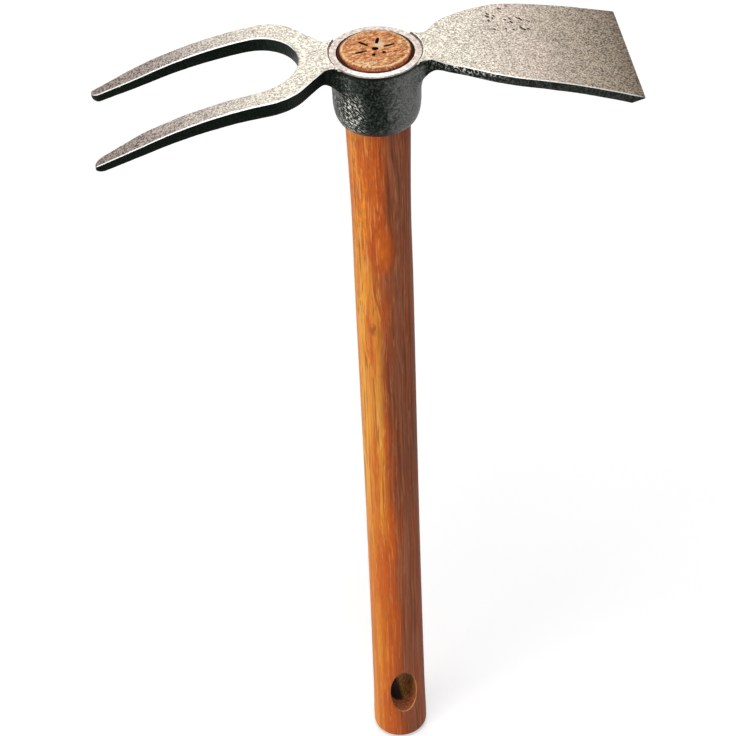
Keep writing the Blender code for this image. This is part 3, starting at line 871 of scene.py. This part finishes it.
# Places on the steel: where a step starts and is full, or a band as (low, high, softness)
WORKED = (0.060, 0.110)
PIT_PATCH = ((0.0590, 0.0155), (0.0160, 0.0145))
COLLAR_INSIDE = (0.0235, 0.0215)
COLLAR_BELOW = (RING_Z - 0.0010, RING_Z - 0.0030)
BLADE_SIDE_GREY = (0.034, 0.060)
GLINT_BELOW = (RING_Z - 0.0080, RING_Z - 0.0180)
NECK_WORN = (0.022, 0.050, 0.008)
SIDE_UPPER_HALF = (RING_Z - 0.0016, RING_Z + 0.0004)
ARRIS_OUTSIDE = (0.024, 0.030)
ARRIS_OF_FORK = (0.0, -0.03)
RING_INSIDE = (RING_RADIUS + 0.0010, RING_RADIUS + 0.0006)
RING_ABOVE = (RING_Z - 0.0006, RING_Z - 0.0004)
RING_EDGE = (RING_RADIUS - 0.0004, RING_RADIUS + 0.0002, 0.0001)
STEP_WALL = (RING_RADIUS + 0.0002, RING_RADIUS + 0.0003)
RING_FRONT = (-0.0090, -0.0170)
GROOVE = (RING_RADIUS + 0.00005, RING_RADIUS + 0.00030, 0.00008)
GROOVE_BELOW = (RING_Z + 0.0002, RING_Z + 0.0001)
GROOVE_BESIDE = (0.0135, 0.0160)


def blasted_top(skin):
    """Pale grainy steel of the upper faces, darker and browner towards the edge and the tips, partly as
    painted shade, with pits.
    """
    x, y, z = skin.x, skin.y, skin.z
    span = BLADE_REACH + FORK_REACH
    stops = [((place + FORK_REACH) / span, colour) for place, colour in TOP_ALONG]
    # The ramp holds painted shade towards the drooping ends as well as their brown film
    body = skin.ramp((x + FORK_REACH) * (1.0 / span), stops)
    uneven = skin.patches(GRAIN_SCALE, 0.34, 0.66, roughness=0.7).swing(1.02)
    uneven = uneven + skin.noise(skin.place, CLOUD_SCALE).swing(0.5)
    worked = abs(x).step(*WORKED)
    pale = skin.shade(body, uneven * worked.between(1.0, 1.60) + 0.97)
    tint = skin.patches(TINT_SCALE, 0.58, 0.75, detail=1.0)
    pale = skin.mix(tint * 0.35, pale, GREEN_TINT)

    pitted = skin.spot(x, y, PIT_PATCH) + skin.patches(PITTED_SCALE, 0.60, 0.72) * 0.25
    slanted = skin.join(x + y * 0.6, (y - x * 0.6) * 0.55, z)
    pits = skin.cells(slanted, PIT_SCALE).step(0.36, 0.28) * skin.patches(PIT_GAP_SCALE, 0.44, 0.52)
    pits = skin.smaller(pits * pitted * 1.8, 1.0)
    return skin.mix(pits, pale, PIT_COLOUR), pits


def flecks_and_glints(skin, on_collar):
    """Pale marks in the scale: painted glints in diagonal strokes at the collar's left, mostly low, where
    its scale sparkles in the light, and fine flecks by the blade's neck.
    """
    x, z, normal_x = skin.x, skin.z, skin.normal_x
    around = skin.math("ARCTAN2", x, skin.y * -1.0) * COLLAR_WAIST_RADIUS
    along = around * 0.82 - z * 0.57
    across = around * 0.57 + z * 0.82
    stroke = skin.noise(skin.join(along * 0.40, across, 0.0), STROKE_SCALE)
    glint_facing = on_collar * skin.normal_y.step(0.60, 0.05)
    lower_left = normal_x.step(-0.28, -0.58) * z.step(*GLINT_BELOW) * glint_facing
    upper_left = normal_x.step(-0.50, -0.80) * glint_facing * 0.30
    glint_patches = skin.patches(GLINT_PATCH_SCALE, 0.36, 0.58, detail=1.0).between(0.45, 1.0)
    glint_patches = glint_patches * normal_x.step(-0.82, -0.97).between(1.0, 0.55)
    on_left = stroke.step(0.52, 0.60) * skin.larger(lower_left, upper_left) * glint_patches
    worn_side = skin.patches(WORN_SIDE_SCALE, 0.52, 0.62, detail=1.0)
    upper_half = z.step(*SIDE_UPPER_HALF).between(0.25, 1.0)
    on_neck = x.band(*NECK_WORN) * worn_side * upper_half * 0.65
    return skin.larger(on_left, on_neck)


def forge_scale_and_shade(skin):
    """Dark scale of the sides and the collar, near-black partly as painted shade: mottled, greyer towards
    the blade, with a painted reflection on the collar's side that faces the blade, pale flecks and painted
    glints.
    """
    mottle = skin.noise(skin.place, MOTTLE_SCALE, roughness=0.65)
    on_collar = skin.reach.step(*COLLAR_INSIDE) * skin.z.step(*COLLAR_BELOW)
    # The collar's side that faces the blade, towards the right-hand light, is greyer: a painted reflection
    # of that light
    turned = skin.normal_x + skin.noise(skin.place, GREY_EDGE_SCALE).swing(0.75)
    facing_blade = turned.step(-0.10, 0.52) * on_collar.between(0.05, 1.0)
    tone = mottle.step(0.42, 0.70) * on_collar.between(0.04, 0.34)
    tone = tone + facing_blade * mottle.step(0.30, 0.60).between(0.50, 1.0)
    on_blade = skin.x.step(*BLADE_SIDE_GREY)
    tone = tone + on_blade * mottle.step(0.40, 0.62).between(0.09, 0.33)
    dark = skin.mix(tone, FORGE_SCALE_AND_SHADE, GREY_SCALE_AND_SHEEN)
    grit = skin.patches(GRIT_SCALE, 0.36, 0.64, roughness=0.7)
    dark = skin.shade(dark, grit.between(0.62, 1.38))
    # Painted glints on the collar's left side, and pale flecks by the blade's neck
    flecks = flecks_and_glints(skin, on_collar)
    return skin.mix(flecks * 0.85, dark, FLECK_AND_GLINT), mottle, flecks


def levelled_ring(skin):
    """Where the levelled ring is, and its steel: darker at the outer edge as painted shade of the step,
    lighter on the step wall as painted light, and paler in front as a painted highlight.
    """
    levelled = skin.reach.step(*RING_INSIDE) * skin.z.step(*RING_ABOVE)
    front = skin.y.step(*RING_FRONT)
    tone = skin.patches(RING_SCALE, 0.30, 0.66).between(0.62, 1.22)
    # Painted shade at the ring's outer edge, painted light on the step wall and a painted highlight on the
    # front
    tone = tone * skin.reach.band(*RING_EDGE).between(1.0, 0.55)
    tone = tone * skin.reach.step(*STEP_WALL).between(1.0, 1.45)
    tone = tone * front.between(1.0, 1.30)
    return levelled, skin.shade(skin.mix(front, RING_STEEL, RING_FRONT_HIGHLIGHT), tone)


def groove_dirt_and_shade(skin):
    """Share of dirt and painted shade in the corner where the ring is stepped down below the necks."""
    dirt = skin.reach.band(*GROOVE) * skin.z.step(*GROOVE_BELOW)
    dirt = dirt * abs(skin.x).step(*GROOVE_BESIDE)
    return dirt * skin.patches(DIRT_SCALE, 0.35, 0.60) * 0.30


def make_steel():
    """Forging with pale blasted upper faces, a levelled ring round the eye, and dark scale elsewhere, with
    painted shade, painted highlights, painted glints and a painted reflection laid into these colours.
    """
    skin = Skin("forged_steel_skin")
    up = skin.normal_z
    pale, pits = blasted_top(skin)
    dark, mottle, flecks = forge_scale_and_shade(skin)
    # Pale blasted steel where the faces look up and dark scale elsewhere; the dark of the sides and
    # undersides is also painted shade, as they face away from the overhead light
    top = (up + skin.noise(skin.place, RAGGED_SCALE).swing(0.25)).step(0.34, 0.46)
    # A painted highlight along the rounded top edges, stronger on the fork
    arris = abs(skin.normal_y).step(0.20, 0.34) * up.step(0.26, 0.42)
    arris = arris * skin.reach.step(*ARRIS_OUTSIDE)
    bright = arris * skin.x.step(*ARRIS_OF_FORK).between(0.50, 0.95)
    levelled, ring = levelled_ring(skin)
    colour = skin.layered(
        dark,
        (top, pale),
        (bright, ARRIS_HIGHLIGHT),
        (levelled, ring),
        # Dirt and painted shade in the groove round the ring
        (groove_dirt_and_shade(skin), GROOVE_DIRT_AND_SHADE),
    )
    rough = mottle.swing(0.25) + 0.46 - skin.larger(levelled, arris) * 0.08
    height = mottle * 0.8 + flecks * 0.6
    height = height * top.between(1.0, 0.45) * levelled.between(1.0, 0.15)
    height = height - pits * top * 0.4
    skin.fill(skin.shader, {
        "Base Color": colour,
        "Metallic": 1.0,
        "Roughness": rough,
        "Normal": skin.bump(height, STEEL_RELIEF),
    })
    return skin.material


# Colours of the wood, linear, from the fork's side round the front to the blade's side; the fork's side is
# paler and yellower as painted light and the blade's side darker as painted shade
WOOD_ACROSS_LIT_TO_SHADED = (
    (0.08, (0.690, 0.240, 0.018)),
    (0.25, (0.600, 0.142, 0.012)),
    (0.42, (0.510, 0.092, 0.014)),
    (0.58, (0.335, 0.076, 0.020)),
    (0.75, (0.315, 0.096, 0.044)),
    (0.94, (0.360, 0.076, 0.018)),
)
WOOD_PALE = (0.800, 0.390, 0.130)
WOOD_GOLD = (0.800, 0.370, 0.045)
WOOD_DARK = (0.200, 0.045, 0.016)
WOOD_RED = (0.500, 0.085, 0.012)
WOOD_PINK = (0.480, 0.190, 0.105)
WOOD_UMBER = (0.150, 0.036, 0.012)
WOOD_FIGURE = (0.085, 0.035, 0.020)
END_GRAIN = (
    (0.34, (0.340, 0.080, 0.030)),
    (0.46, (0.660, 0.235, 0.085)),
    (0.56, (0.840, 0.400, 0.170)),
    (0.68, (0.980, 0.680, 0.400)),
)
END_LINE = (0.160, 0.036, 0.014)
END_CREAM = (1.000, 0.740, 0.470)
END_HIGHLIGHT_GOLD = (1.000, 0.760, 0.420)
CHAMFER_LIT_RED = (0.480, 0.125, 0.048)
CHAMFER_DARK = (0.060, 0.016, 0.009)
RECESS_SHADE = (0.010, 0.005, 0.004)
BORE_SHADE = (0.018, 0.008, 0.005)
BORE_LIT_RED = (0.340, 0.105, 0.042)
BORE_LIT_GOLD = (0.470, 0.205, 0.060)
SLOT_RIM_HIGHLIGHT = (0.800, 0.400, 0.190)

# Noises of the wood as (scale, stretch along the grain, detail, roughness)
SWAY = (60.0, 14.0 / 60.0, 2.0, 0.5)
BORDER = (50.0, 0.48, 1.0, 0.5)
RIPPLE = (700.0, 0.34, 2.0, 0.6)
FINE = (1250.0, 0.050, 2.0, 0.6)
STREAK = (430.0, 0.050, 2.0, 0.55)
BROAD = (330.0, 0.030, 1.0, 0.5)
LONG_LINE = (1000.0, 0.016, 1.0, 0.5)
HAIRLINE = (1000.0, 0.024, 2.0, 0.5)
MINERAL = (800.0, 0.045, 2.0, 0.7)
PORE_SCALE = 1500.0
PORE_STRETCH = 0.09
SWAY_WIDTH = 0.0055
WOOD_RELIEF = 0.00014

# Places on the handle: patches as (centre, reach) in x and z, steps and bands as on the steel
KNOT_X = -0.0069
KNOT_Z = 0.2425
KNOT = ((KNOT_X, 0.0018), (KNOT_Z, 0.0050))
KNOT_HALO = ((KNOT_X, 0.0075), (KNOT_Z, 0.0260))
TONGUE = ((0.0002, 0.0055), (0.2890, 0.0170))
GOLDEN_PATCH = ((-0.0095, 0.0085), (0.2640, 0.0260))
FIGURE_PATCH = ((0.0042, 0.0040), (0.3220, 0.0240))
AT_BACK = (-0.0020, 0.0110)
LIVELY_ABOVE = (0.02, 0.20)
CURLY_ABOVE = (0.235, 0.285)
GOLD_RUN = (0.125, 0.262, 0.025)
GOLD_RUN_LEFT = (-0.0020, -0.0065)
SHADED_RUN = (0.125, 0.240, 0.025)
AT_FRONT = (0.0, -0.006)
RIGHT_EDGE = (0.0093, 0.0128)
BUTT_EDGE = (BUTT_Z + 0.0034, BUTT_Z + 0.0008)
THIN_LACQUER = (0.0020, 0.0120)
SLOT_ZONE = (0.0190, 0.0170)
SLOT_RIM = (0.01322, 0.01302)
SLOT_WALL = (0.01278, 0.01245)
SLOT_MOUTH_ZONE = (0.0040, 0.0056)
SLOT_MOUTH_RAG = 0.003
SLOT_UPPER_WALL = (-0.0060, 0.0020)


def wood_noise(skin, x, y, scale, stretch, detail, roughness):
    """Noise that is drawn out along the handle."""
    return skin.noise(skin.join(x, y, skin.z * stretch), scale, detail, roughness)


def grain_noises(skin):
    """Noises that run with the grain, which sways and parts round the knot, and a ripple across it."""
    x, y = skin.x, skin.y
    sway = wood_noise(skin, x, y, *SWAY).swing(SWAY_WIDTH)
    squeeze = skin.spot(x, skin.z, KNOT_HALO).between(1.0, 0.30)
    grain_x = (x + sway - KNOT_X) * squeeze + KNOT_X
    grain_y = y + sway
    kinds = (FINE, STREAK, BROAD, LONG_LINE, HAIRLINE, MINERAL)
    along = [wood_noise(skin, grain_x, grain_y, *kind) for kind in kinds]
    return *along, wood_noise(skin, x + sway, y, *RIPPLE)


def wood_side(skin):
    """Stained side grain: long fine streaks, a small knot and pores, yellower at the left as painted light
    and darker at the right as painted shade.
    """
    x, y, z = skin.x, skin.y, skin.z
    fine, streak, broad, long_line, hairline, mineral, ripple = grain_noises(skin)
    tongue = skin.spot(x, z, TONGUE)
    at_back = y.step(*AT_BACK)
    # The share runs from the lit left to the shaded right: painted light and shade across the handle
    share = (x * 0.99 - y * 0.12) * (0.5 / GRIP_RADIUS) + 0.5 + streak.swing(0.30)
    share = share + wood_noise(skin, x, y, *BORDER).swing(0.5) - tongue * 0.22
    share = share * at_back.between(1.0, 0.45) + at_back * 0.15
    left = share.step(0.60, 0.35)
    brown = 1.0 - left
    lively = left.between(0.40, 1.0) * z.step(*LIVELY_ABOVE).between(0.45, 1.0)
    lively = lively * tongue.between(1.0, 0.35)
    curly = lively * z.step(*CURLY_ABOVE).between(0.55, 1.0)
    body = skin.shade(skin.ramp(share, WOOD_ACROSS_LIT_TO_SHADED), ripple.swing(1.5) * curly + 1.0)

    golden = skin.spot(x, z, GOLDEN_PATCH) * streak.step(0.35, 0.60)
    gold_run = z.band(*GOLD_RUN) * x.step(*GOLD_RUN_LEFT) * streak.step(0.32, 0.52)
    body = skin.layered(
        body,
        (golden * 0.65, WOOD_GOLD),
        (gold_run * 0.85, WOOD_GOLD),
        (fine.step(0.54, 0.68) * lively * 0.70, WOOD_PALE),
        (hairline.step(0.53, 0.66) * lively * 0.60, WOOD_DARK),
        (broad.step(0.46, 0.60) * left * 0.45, WOOD_RED),
        (long_line.step(0.54, 0.66) * brown * 0.40, WOOD_PINK),
        (long_line.step(0.44, 0.32) * brown * 0.55, WOOD_UMBER),
    )
    shaded_run = z.band(*SHADED_RUN) * brown * y.step(*AT_FRONT)
    knot = skin.spot(x, z, KNOT) * ripple.step(0.40, 0.60)
    figure = skin.smaller(skin.spot(x, z, FIGURE_PATCH) * 2.0, 1.0) * mineral.step(0.45, 0.60)
    # Painted shade along the blade-side edge of the handle
    painted_edge_shade = x.step(*RIGHT_EDGE) * streak.step(0.25, 0.45)
    pores = skin.cells(skin.join(x, y, z * PORE_STRETCH), PORE_SCALE).step(0.28, 0.12)
    pores = pores * streak.step(0.42, 0.60)
    body = skin.layered(
        skin.shade(body, shaded_run.between(1.0, 0.82)),
        (knot * 0.75, WOOD_DARK),
        (figure * 0.60, WOOD_FIGURE),
        (painted_edge_shade * 0.45, WOOD_UMBER),
        (z.step(*BUTT_EDGE) * 0.85, WOOD_UMBER),
        (pores * 0.35, WOOD_DARK),
    )
    return body, fine, pores


# Noises of the end grain as (scale, stretch along its streaks, level, detail, roughness)
BLOTCH = (560.0, 0.42, 0.0, 3.0, 0.65)
CREASE = (800.0, 0.16, 0.5, 2.0, 0.6)
END_GRIT = (950.0, 0.60, 1.0, 2.0, 0.7)
SPECK_SCALE = 1150.0
CHAMFER_PATCH_SCALE = 640.0

# Places on the end grain, in x and y and by distance from the handle's axis
END_ZONE = (WOOD_END_Z - 0.0036, WOOD_END_Z - 0.0030)
END_PALE_PATCH = ((0.0020, 0.0032), (0.0030, 0.0044))
END_LOW_PATCH = ((-0.0060, 0.0070), (-0.0115, 0.0045))
END_LOWER_RIGHT = (-0.0020, 0.0080)
END_RIM = (END_FLAT_RADIUS - 0.0007, END_FLAT_RADIUS + 0.0002, 0.0003)
END_OUTSIDE = (END_FLAT_RADIUS - 0.0006, END_FLAT_RADIUS)
END_BACK = (0.0020, 0.0090)
CHAMFER_ZONE = (END_FLAT_RADIUS + 0.0002, END_FLAT_RADIUS + 0.0008)
CHAMFER_DEEP = (END_FLAT_RADIUS + 0.0011, END_FLAT_RADIUS + 0.0017)
CHAMFER_PATCHY_SIDE = (-0.0020, 0.0060)
CHAMFER_BACK = (-0.0130, -0.0050)
CHAMFER_BACK_SHIFT = 0.0007
SUNK_BELOW = (WOOD_END_Z - 0.00010, WOOD_END_Z - 0.00030)
SUNK_INSIDE = (0.0108, 0.0100)


def wood_end(skin):
    """End grain in the eye: blotchy streaks, a pale patch, a golden rim painted as a highlight, darker
    along the back edge, and a chamfer red in front as painted light and dark behind and deep down as
    painted shade.
    """
    x, y, reach = skin.x, skin.y, skin.reach
    along = x * 0.90 + y * 0.44
    across = y * 0.90 - x * 0.44

    def streaked(scale, stretch, level, detail, roughness):
        return skin.noise(skin.join(along * stretch, across, level), scale, detail, roughness)

    speck = skin.noise(skin.place, SPECK_SCALE)
    tone = skin.mix(speck.step(0.56, 0.70) * 0.45, skin.ramp(streaked(*BLOTCH), END_GRAIN), END_CREAM)
    tone = skin.shade(tone, streaked(*END_GRIT).step(0.36, 0.64).between(0.63, 1.41))
    crease = streaked(*CREASE).step(0.57, 0.66)
    crease = crease * (x - y).step(*END_LOWER_RIGHT).between(0.35, 1.0)
    flat = skin.layered(
        tone,
        (crease * 0.75, END_LINE),
        (skin.spot(x, y, END_PALE_PATCH) * 0.80, END_CREAM),
        (skin.spot(x, y, END_LOW_PATCH) * speck.step(0.46, 0.54) * 0.9, END_CREAM),
        # A painted highlight along the rim of the flat end
        (reach.band(*END_RIM) * speck.step(0.36, 0.50) * 0.95, END_HIGHLIGHT_GOLD),
        (reach.step(*END_OUTSIDE) * y.step(*END_BACK) * 0.85, CHAMFER_DARK),
    )
    # Dark patches on the chamfer's right-hand side
    dark_patches = skin.patches(CHAMFER_PATCH_SCALE, 0.50, 0.62) * x.step(*CHAMFER_PATCHY_SIDE)
    shifted = reach + y.step(*CHAMFER_BACK) * CHAMFER_BACK_SHIFT
    # Painted light and shade on the chamfer: red where it is lit in front, with painted highlights, and
    # dark as painted shade round the back and deep down
    chamfer = skin.layered(
        CHAMFER_LIT_RED,
        (speck.step(0.54, 0.66) * 0.35, END_HIGHLIGHT_GOLD),
        (dark_patches * 0.75, CHAMFER_DARK),
        (shifted.step(*CHAMFER_DEEP), CHAMFER_DARK),
    )
    # Painted shade in the sunk drive marks and the centre hole
    sunk = skin.z.step(*SUNK_BELOW) * reach.step(*SUNK_INSIDE)
    return skin.layered(flat, (reach.step(*CHAMFER_ZONE), chamfer), (sunk, RECESS_SHADE))


def slot_wall(skin, fine):
    """Walls of the hanging slot: golden and red near its mouths and golden on the wall that faces the
    left-hand light as painted light, dark in the middle as painted shade.
    """
    forward = skin.x * math.sin(SLOT_TURN) - skin.y * math.cos(SLOT_TURN)
    # Painted light near the mouths and on the wall facing the left-hand light, painted shade deep inside
    near_mouth = (forward + fine.swing(SLOT_MOUTH_RAG)).step(*SLOT_MOUTH_ZONE)
    golden = skin.normal_x.step(-0.30, -0.70) * skin.z.step(*SLOT_UPPER_WALL)
    front = skin.mix(golden, BORE_LIT_RED, BORE_LIT_GOLD)
    deep = skin.mix(skin.normal_x.step(0.05, -0.45), BORE_SHADE, BORE_LIT_GOLD)
    wall = skin.mix(near_mouth, deep, front)
    return skin.shade(wall, fine.step(0.35, 0.65).between(0.55, 1.45))


def make_wood():
    """Stained and lacquered hardwood of the handle, its end grain in the eye and the walls of its slot."""
    skin = Skin("lacquered_hardwood_skin")
    body, fine, pores = wood_side(skin)
    at_end = skin.z.step(*END_ZONE)
    near_slot = abs(skin.z).step(*SLOT_ZONE)
    rim = skin.reach.step(*SLOT_RIM) * near_slot
    bore = skin.reach.step(*SLOT_WALL) * near_slot
    colour = skin.layered(
        body,
        (at_end, wood_end(skin)),
        # A painted highlight on the slot's rim
        (rim * 0.75, SLOT_RIM_HIGHLIGHT),
        (bore, slot_wall(skin, fine)),
    )
    skin.fill(skin.shader, {
        "Base Color": colour,
        "Roughness": fine * 0.12 + 0.40 + skin.larger(bore, at_end) * 0.25,
        "Specular IOR Level": skin.x.step(*THIN_LACQUER).between(0.11, 0.04),
        "Normal": skin.bump(fine * 0.35 - pores * 0.8, WOOD_RELIEF),
    })
    return skin.material


def dress(piece, node, material):
    """Put a fine piece in its solid's place, with its material and its body."""
    piece.data.materials.clear()
    piece.data.materials.append(material)
    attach(piece, "root")
    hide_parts(node)


# Studio: a pale floor, a white surround and four softboxes as (name, place, aim, size, watts, colour)
FLOOR_SIZE = 6.0
FLOOR_GAP = 0.0005
FLOOR_GREY = (0.86, 0.86, 0.86)
FLOOR_GLOW = 0.46
FLOOR_GLOW_FAR = 0.90
FLOOR_NEAR = 0.45
FLOOR_FAR = 1.50
WORLD_STRENGTH = 0.176
WHITE = (1.0, 1.0, 1.0)
SOFTBOXES = (
    ("back_softbox", (0.10, 1.15, 1.45), (0.0, 0.0, 0.38), (0.8, 0.7), 6.0, WHITE),
    ("top_softbox", (-0.15, -0.40, 1.55), (0.0, 0.0, 0.30), (0.7, 0.6), 9.0, WHITE),
    ("left_softbox", (-1.0, -0.50, 0.17), (0.0, 0.0, 0.20), (0.7, 0.6), 9.0, (1.0, 0.97, 0.93)),
    ("right_fill", (1.1, -0.55, 0.30), (0.0, 0.0, 0.25), (0.6, 0.5), 1.8, (0.93, 0.96, 1.0)),
)


def seen_directly(nodes):
    """1 for what the camera sees, straight, mirrored or through glass, and 0 for light on other things."""
    path = nodes.new("LightPath")
    seen = Field(nodes, path.outputs["Is Camera Ray"])
    for name in ("Is Glossy Ray", "Is Transmission Ray"):
        seen = nodes.larger(seen, Field(nodes, path.outputs[name]))
    return seen


def make_floor():
    """Plain pale floor under the butt, lifted towards white where it is seen, shadow and all."""
    bm = bmesh.new()
    bmesh.ops.create_grid(bm, x_segments=1, y_segments=1, size=0.5 * FLOOR_SIZE)
    floor = finish_object("floor", bm)
    floor.location = (0.0, 0.0, BUTT_Z - FLOOR_GAP)
    skin = Skin("floor")
    lift = skin.reach.step(FLOOR_NEAR, FLOOR_FAR).between(FLOOR_GLOW, FLOOR_GLOW_FAR)
    skin.fill(skin.shader, {
        "Base Color": FLOOR_GREY,
        "Roughness": 1.0,
        "Specular IOR Level": 0.0,
        "Emission Color": WHITE,
        "Emission Strength": seen_directly(skin) * lift,
    })
    floor.data.materials.append(skin.material)
    floor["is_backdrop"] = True


def make_world():
    """White where it is seen, and a low even light on the object."""
    world = bpy.data.worlds.new("studio")
    bpy.context.scene.world = world
    nodes = Nodes(world)
    nodes.tree.nodes.clear()
    strengths = {"Value": seen_directly(nodes), "To Min": WORLD_STRENGTH, "To Max": 1.0}
    strength = nodes.fill(nodes.new("MapRange"), strengths, "Result")
    background = nodes.fill(nodes.new("Background"), {"Color": WHITE, "Strength": strength})
    nodes.feed(nodes.new("OutputWorld").inputs["Surface"], background)


def make_camera():
    camera = bpy.data.cameras.new("camera")
    camera.sensor_width = SENSOR_WIDTH_MM
    camera.lens = SENSOR_WIDTH_MM * FOCAL_LENGTH_PX / IMAGE_WIDTH_PX
    camera.clip_start = CLIP_START
    holder = add_object("camera", camera)
    turn = Matrix((CAMERA_RIGHT, CAMERA_UP, -Vector(CAMERA_AHEAD))).transposed()
    place = Vector(CAMERA_PLACE) + Vector((0.0, 0.0, RING_Z))
    holder.matrix_world = Matrix.Translation(place) @ turn.to_4x4()
    bpy.context.scene.camera = holder


def add_softbox(name, place, aim, size, watts, colour):
    light = bpy.data.lights.new(name, "AREA")
    light.shape = "RECTANGLE"
    light.size, light.size_y = size
    light.energy = watts
    light.color = colour
    lamp = add_object(name, light)
    lamp.location = place
    lamp.rotation_euler = (Vector(aim) - Vector(place)).to_track_quat("-Z", "Y").to_euler()


make_camera()
make_world()
make_floor()
for softbox in SOFTBOXES:
    add_softbox(*softbox)
bpy.context.scene.view_settings.view_transform = "Standard"
dress(make_head(), "forged_head", make_steel())
dress(make_handle(), "handle", make_wood())

boxes = {"cad": cad_box, "visual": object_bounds()}
{name: [list(corner) for corner in box] for name, box in boxes.items()}
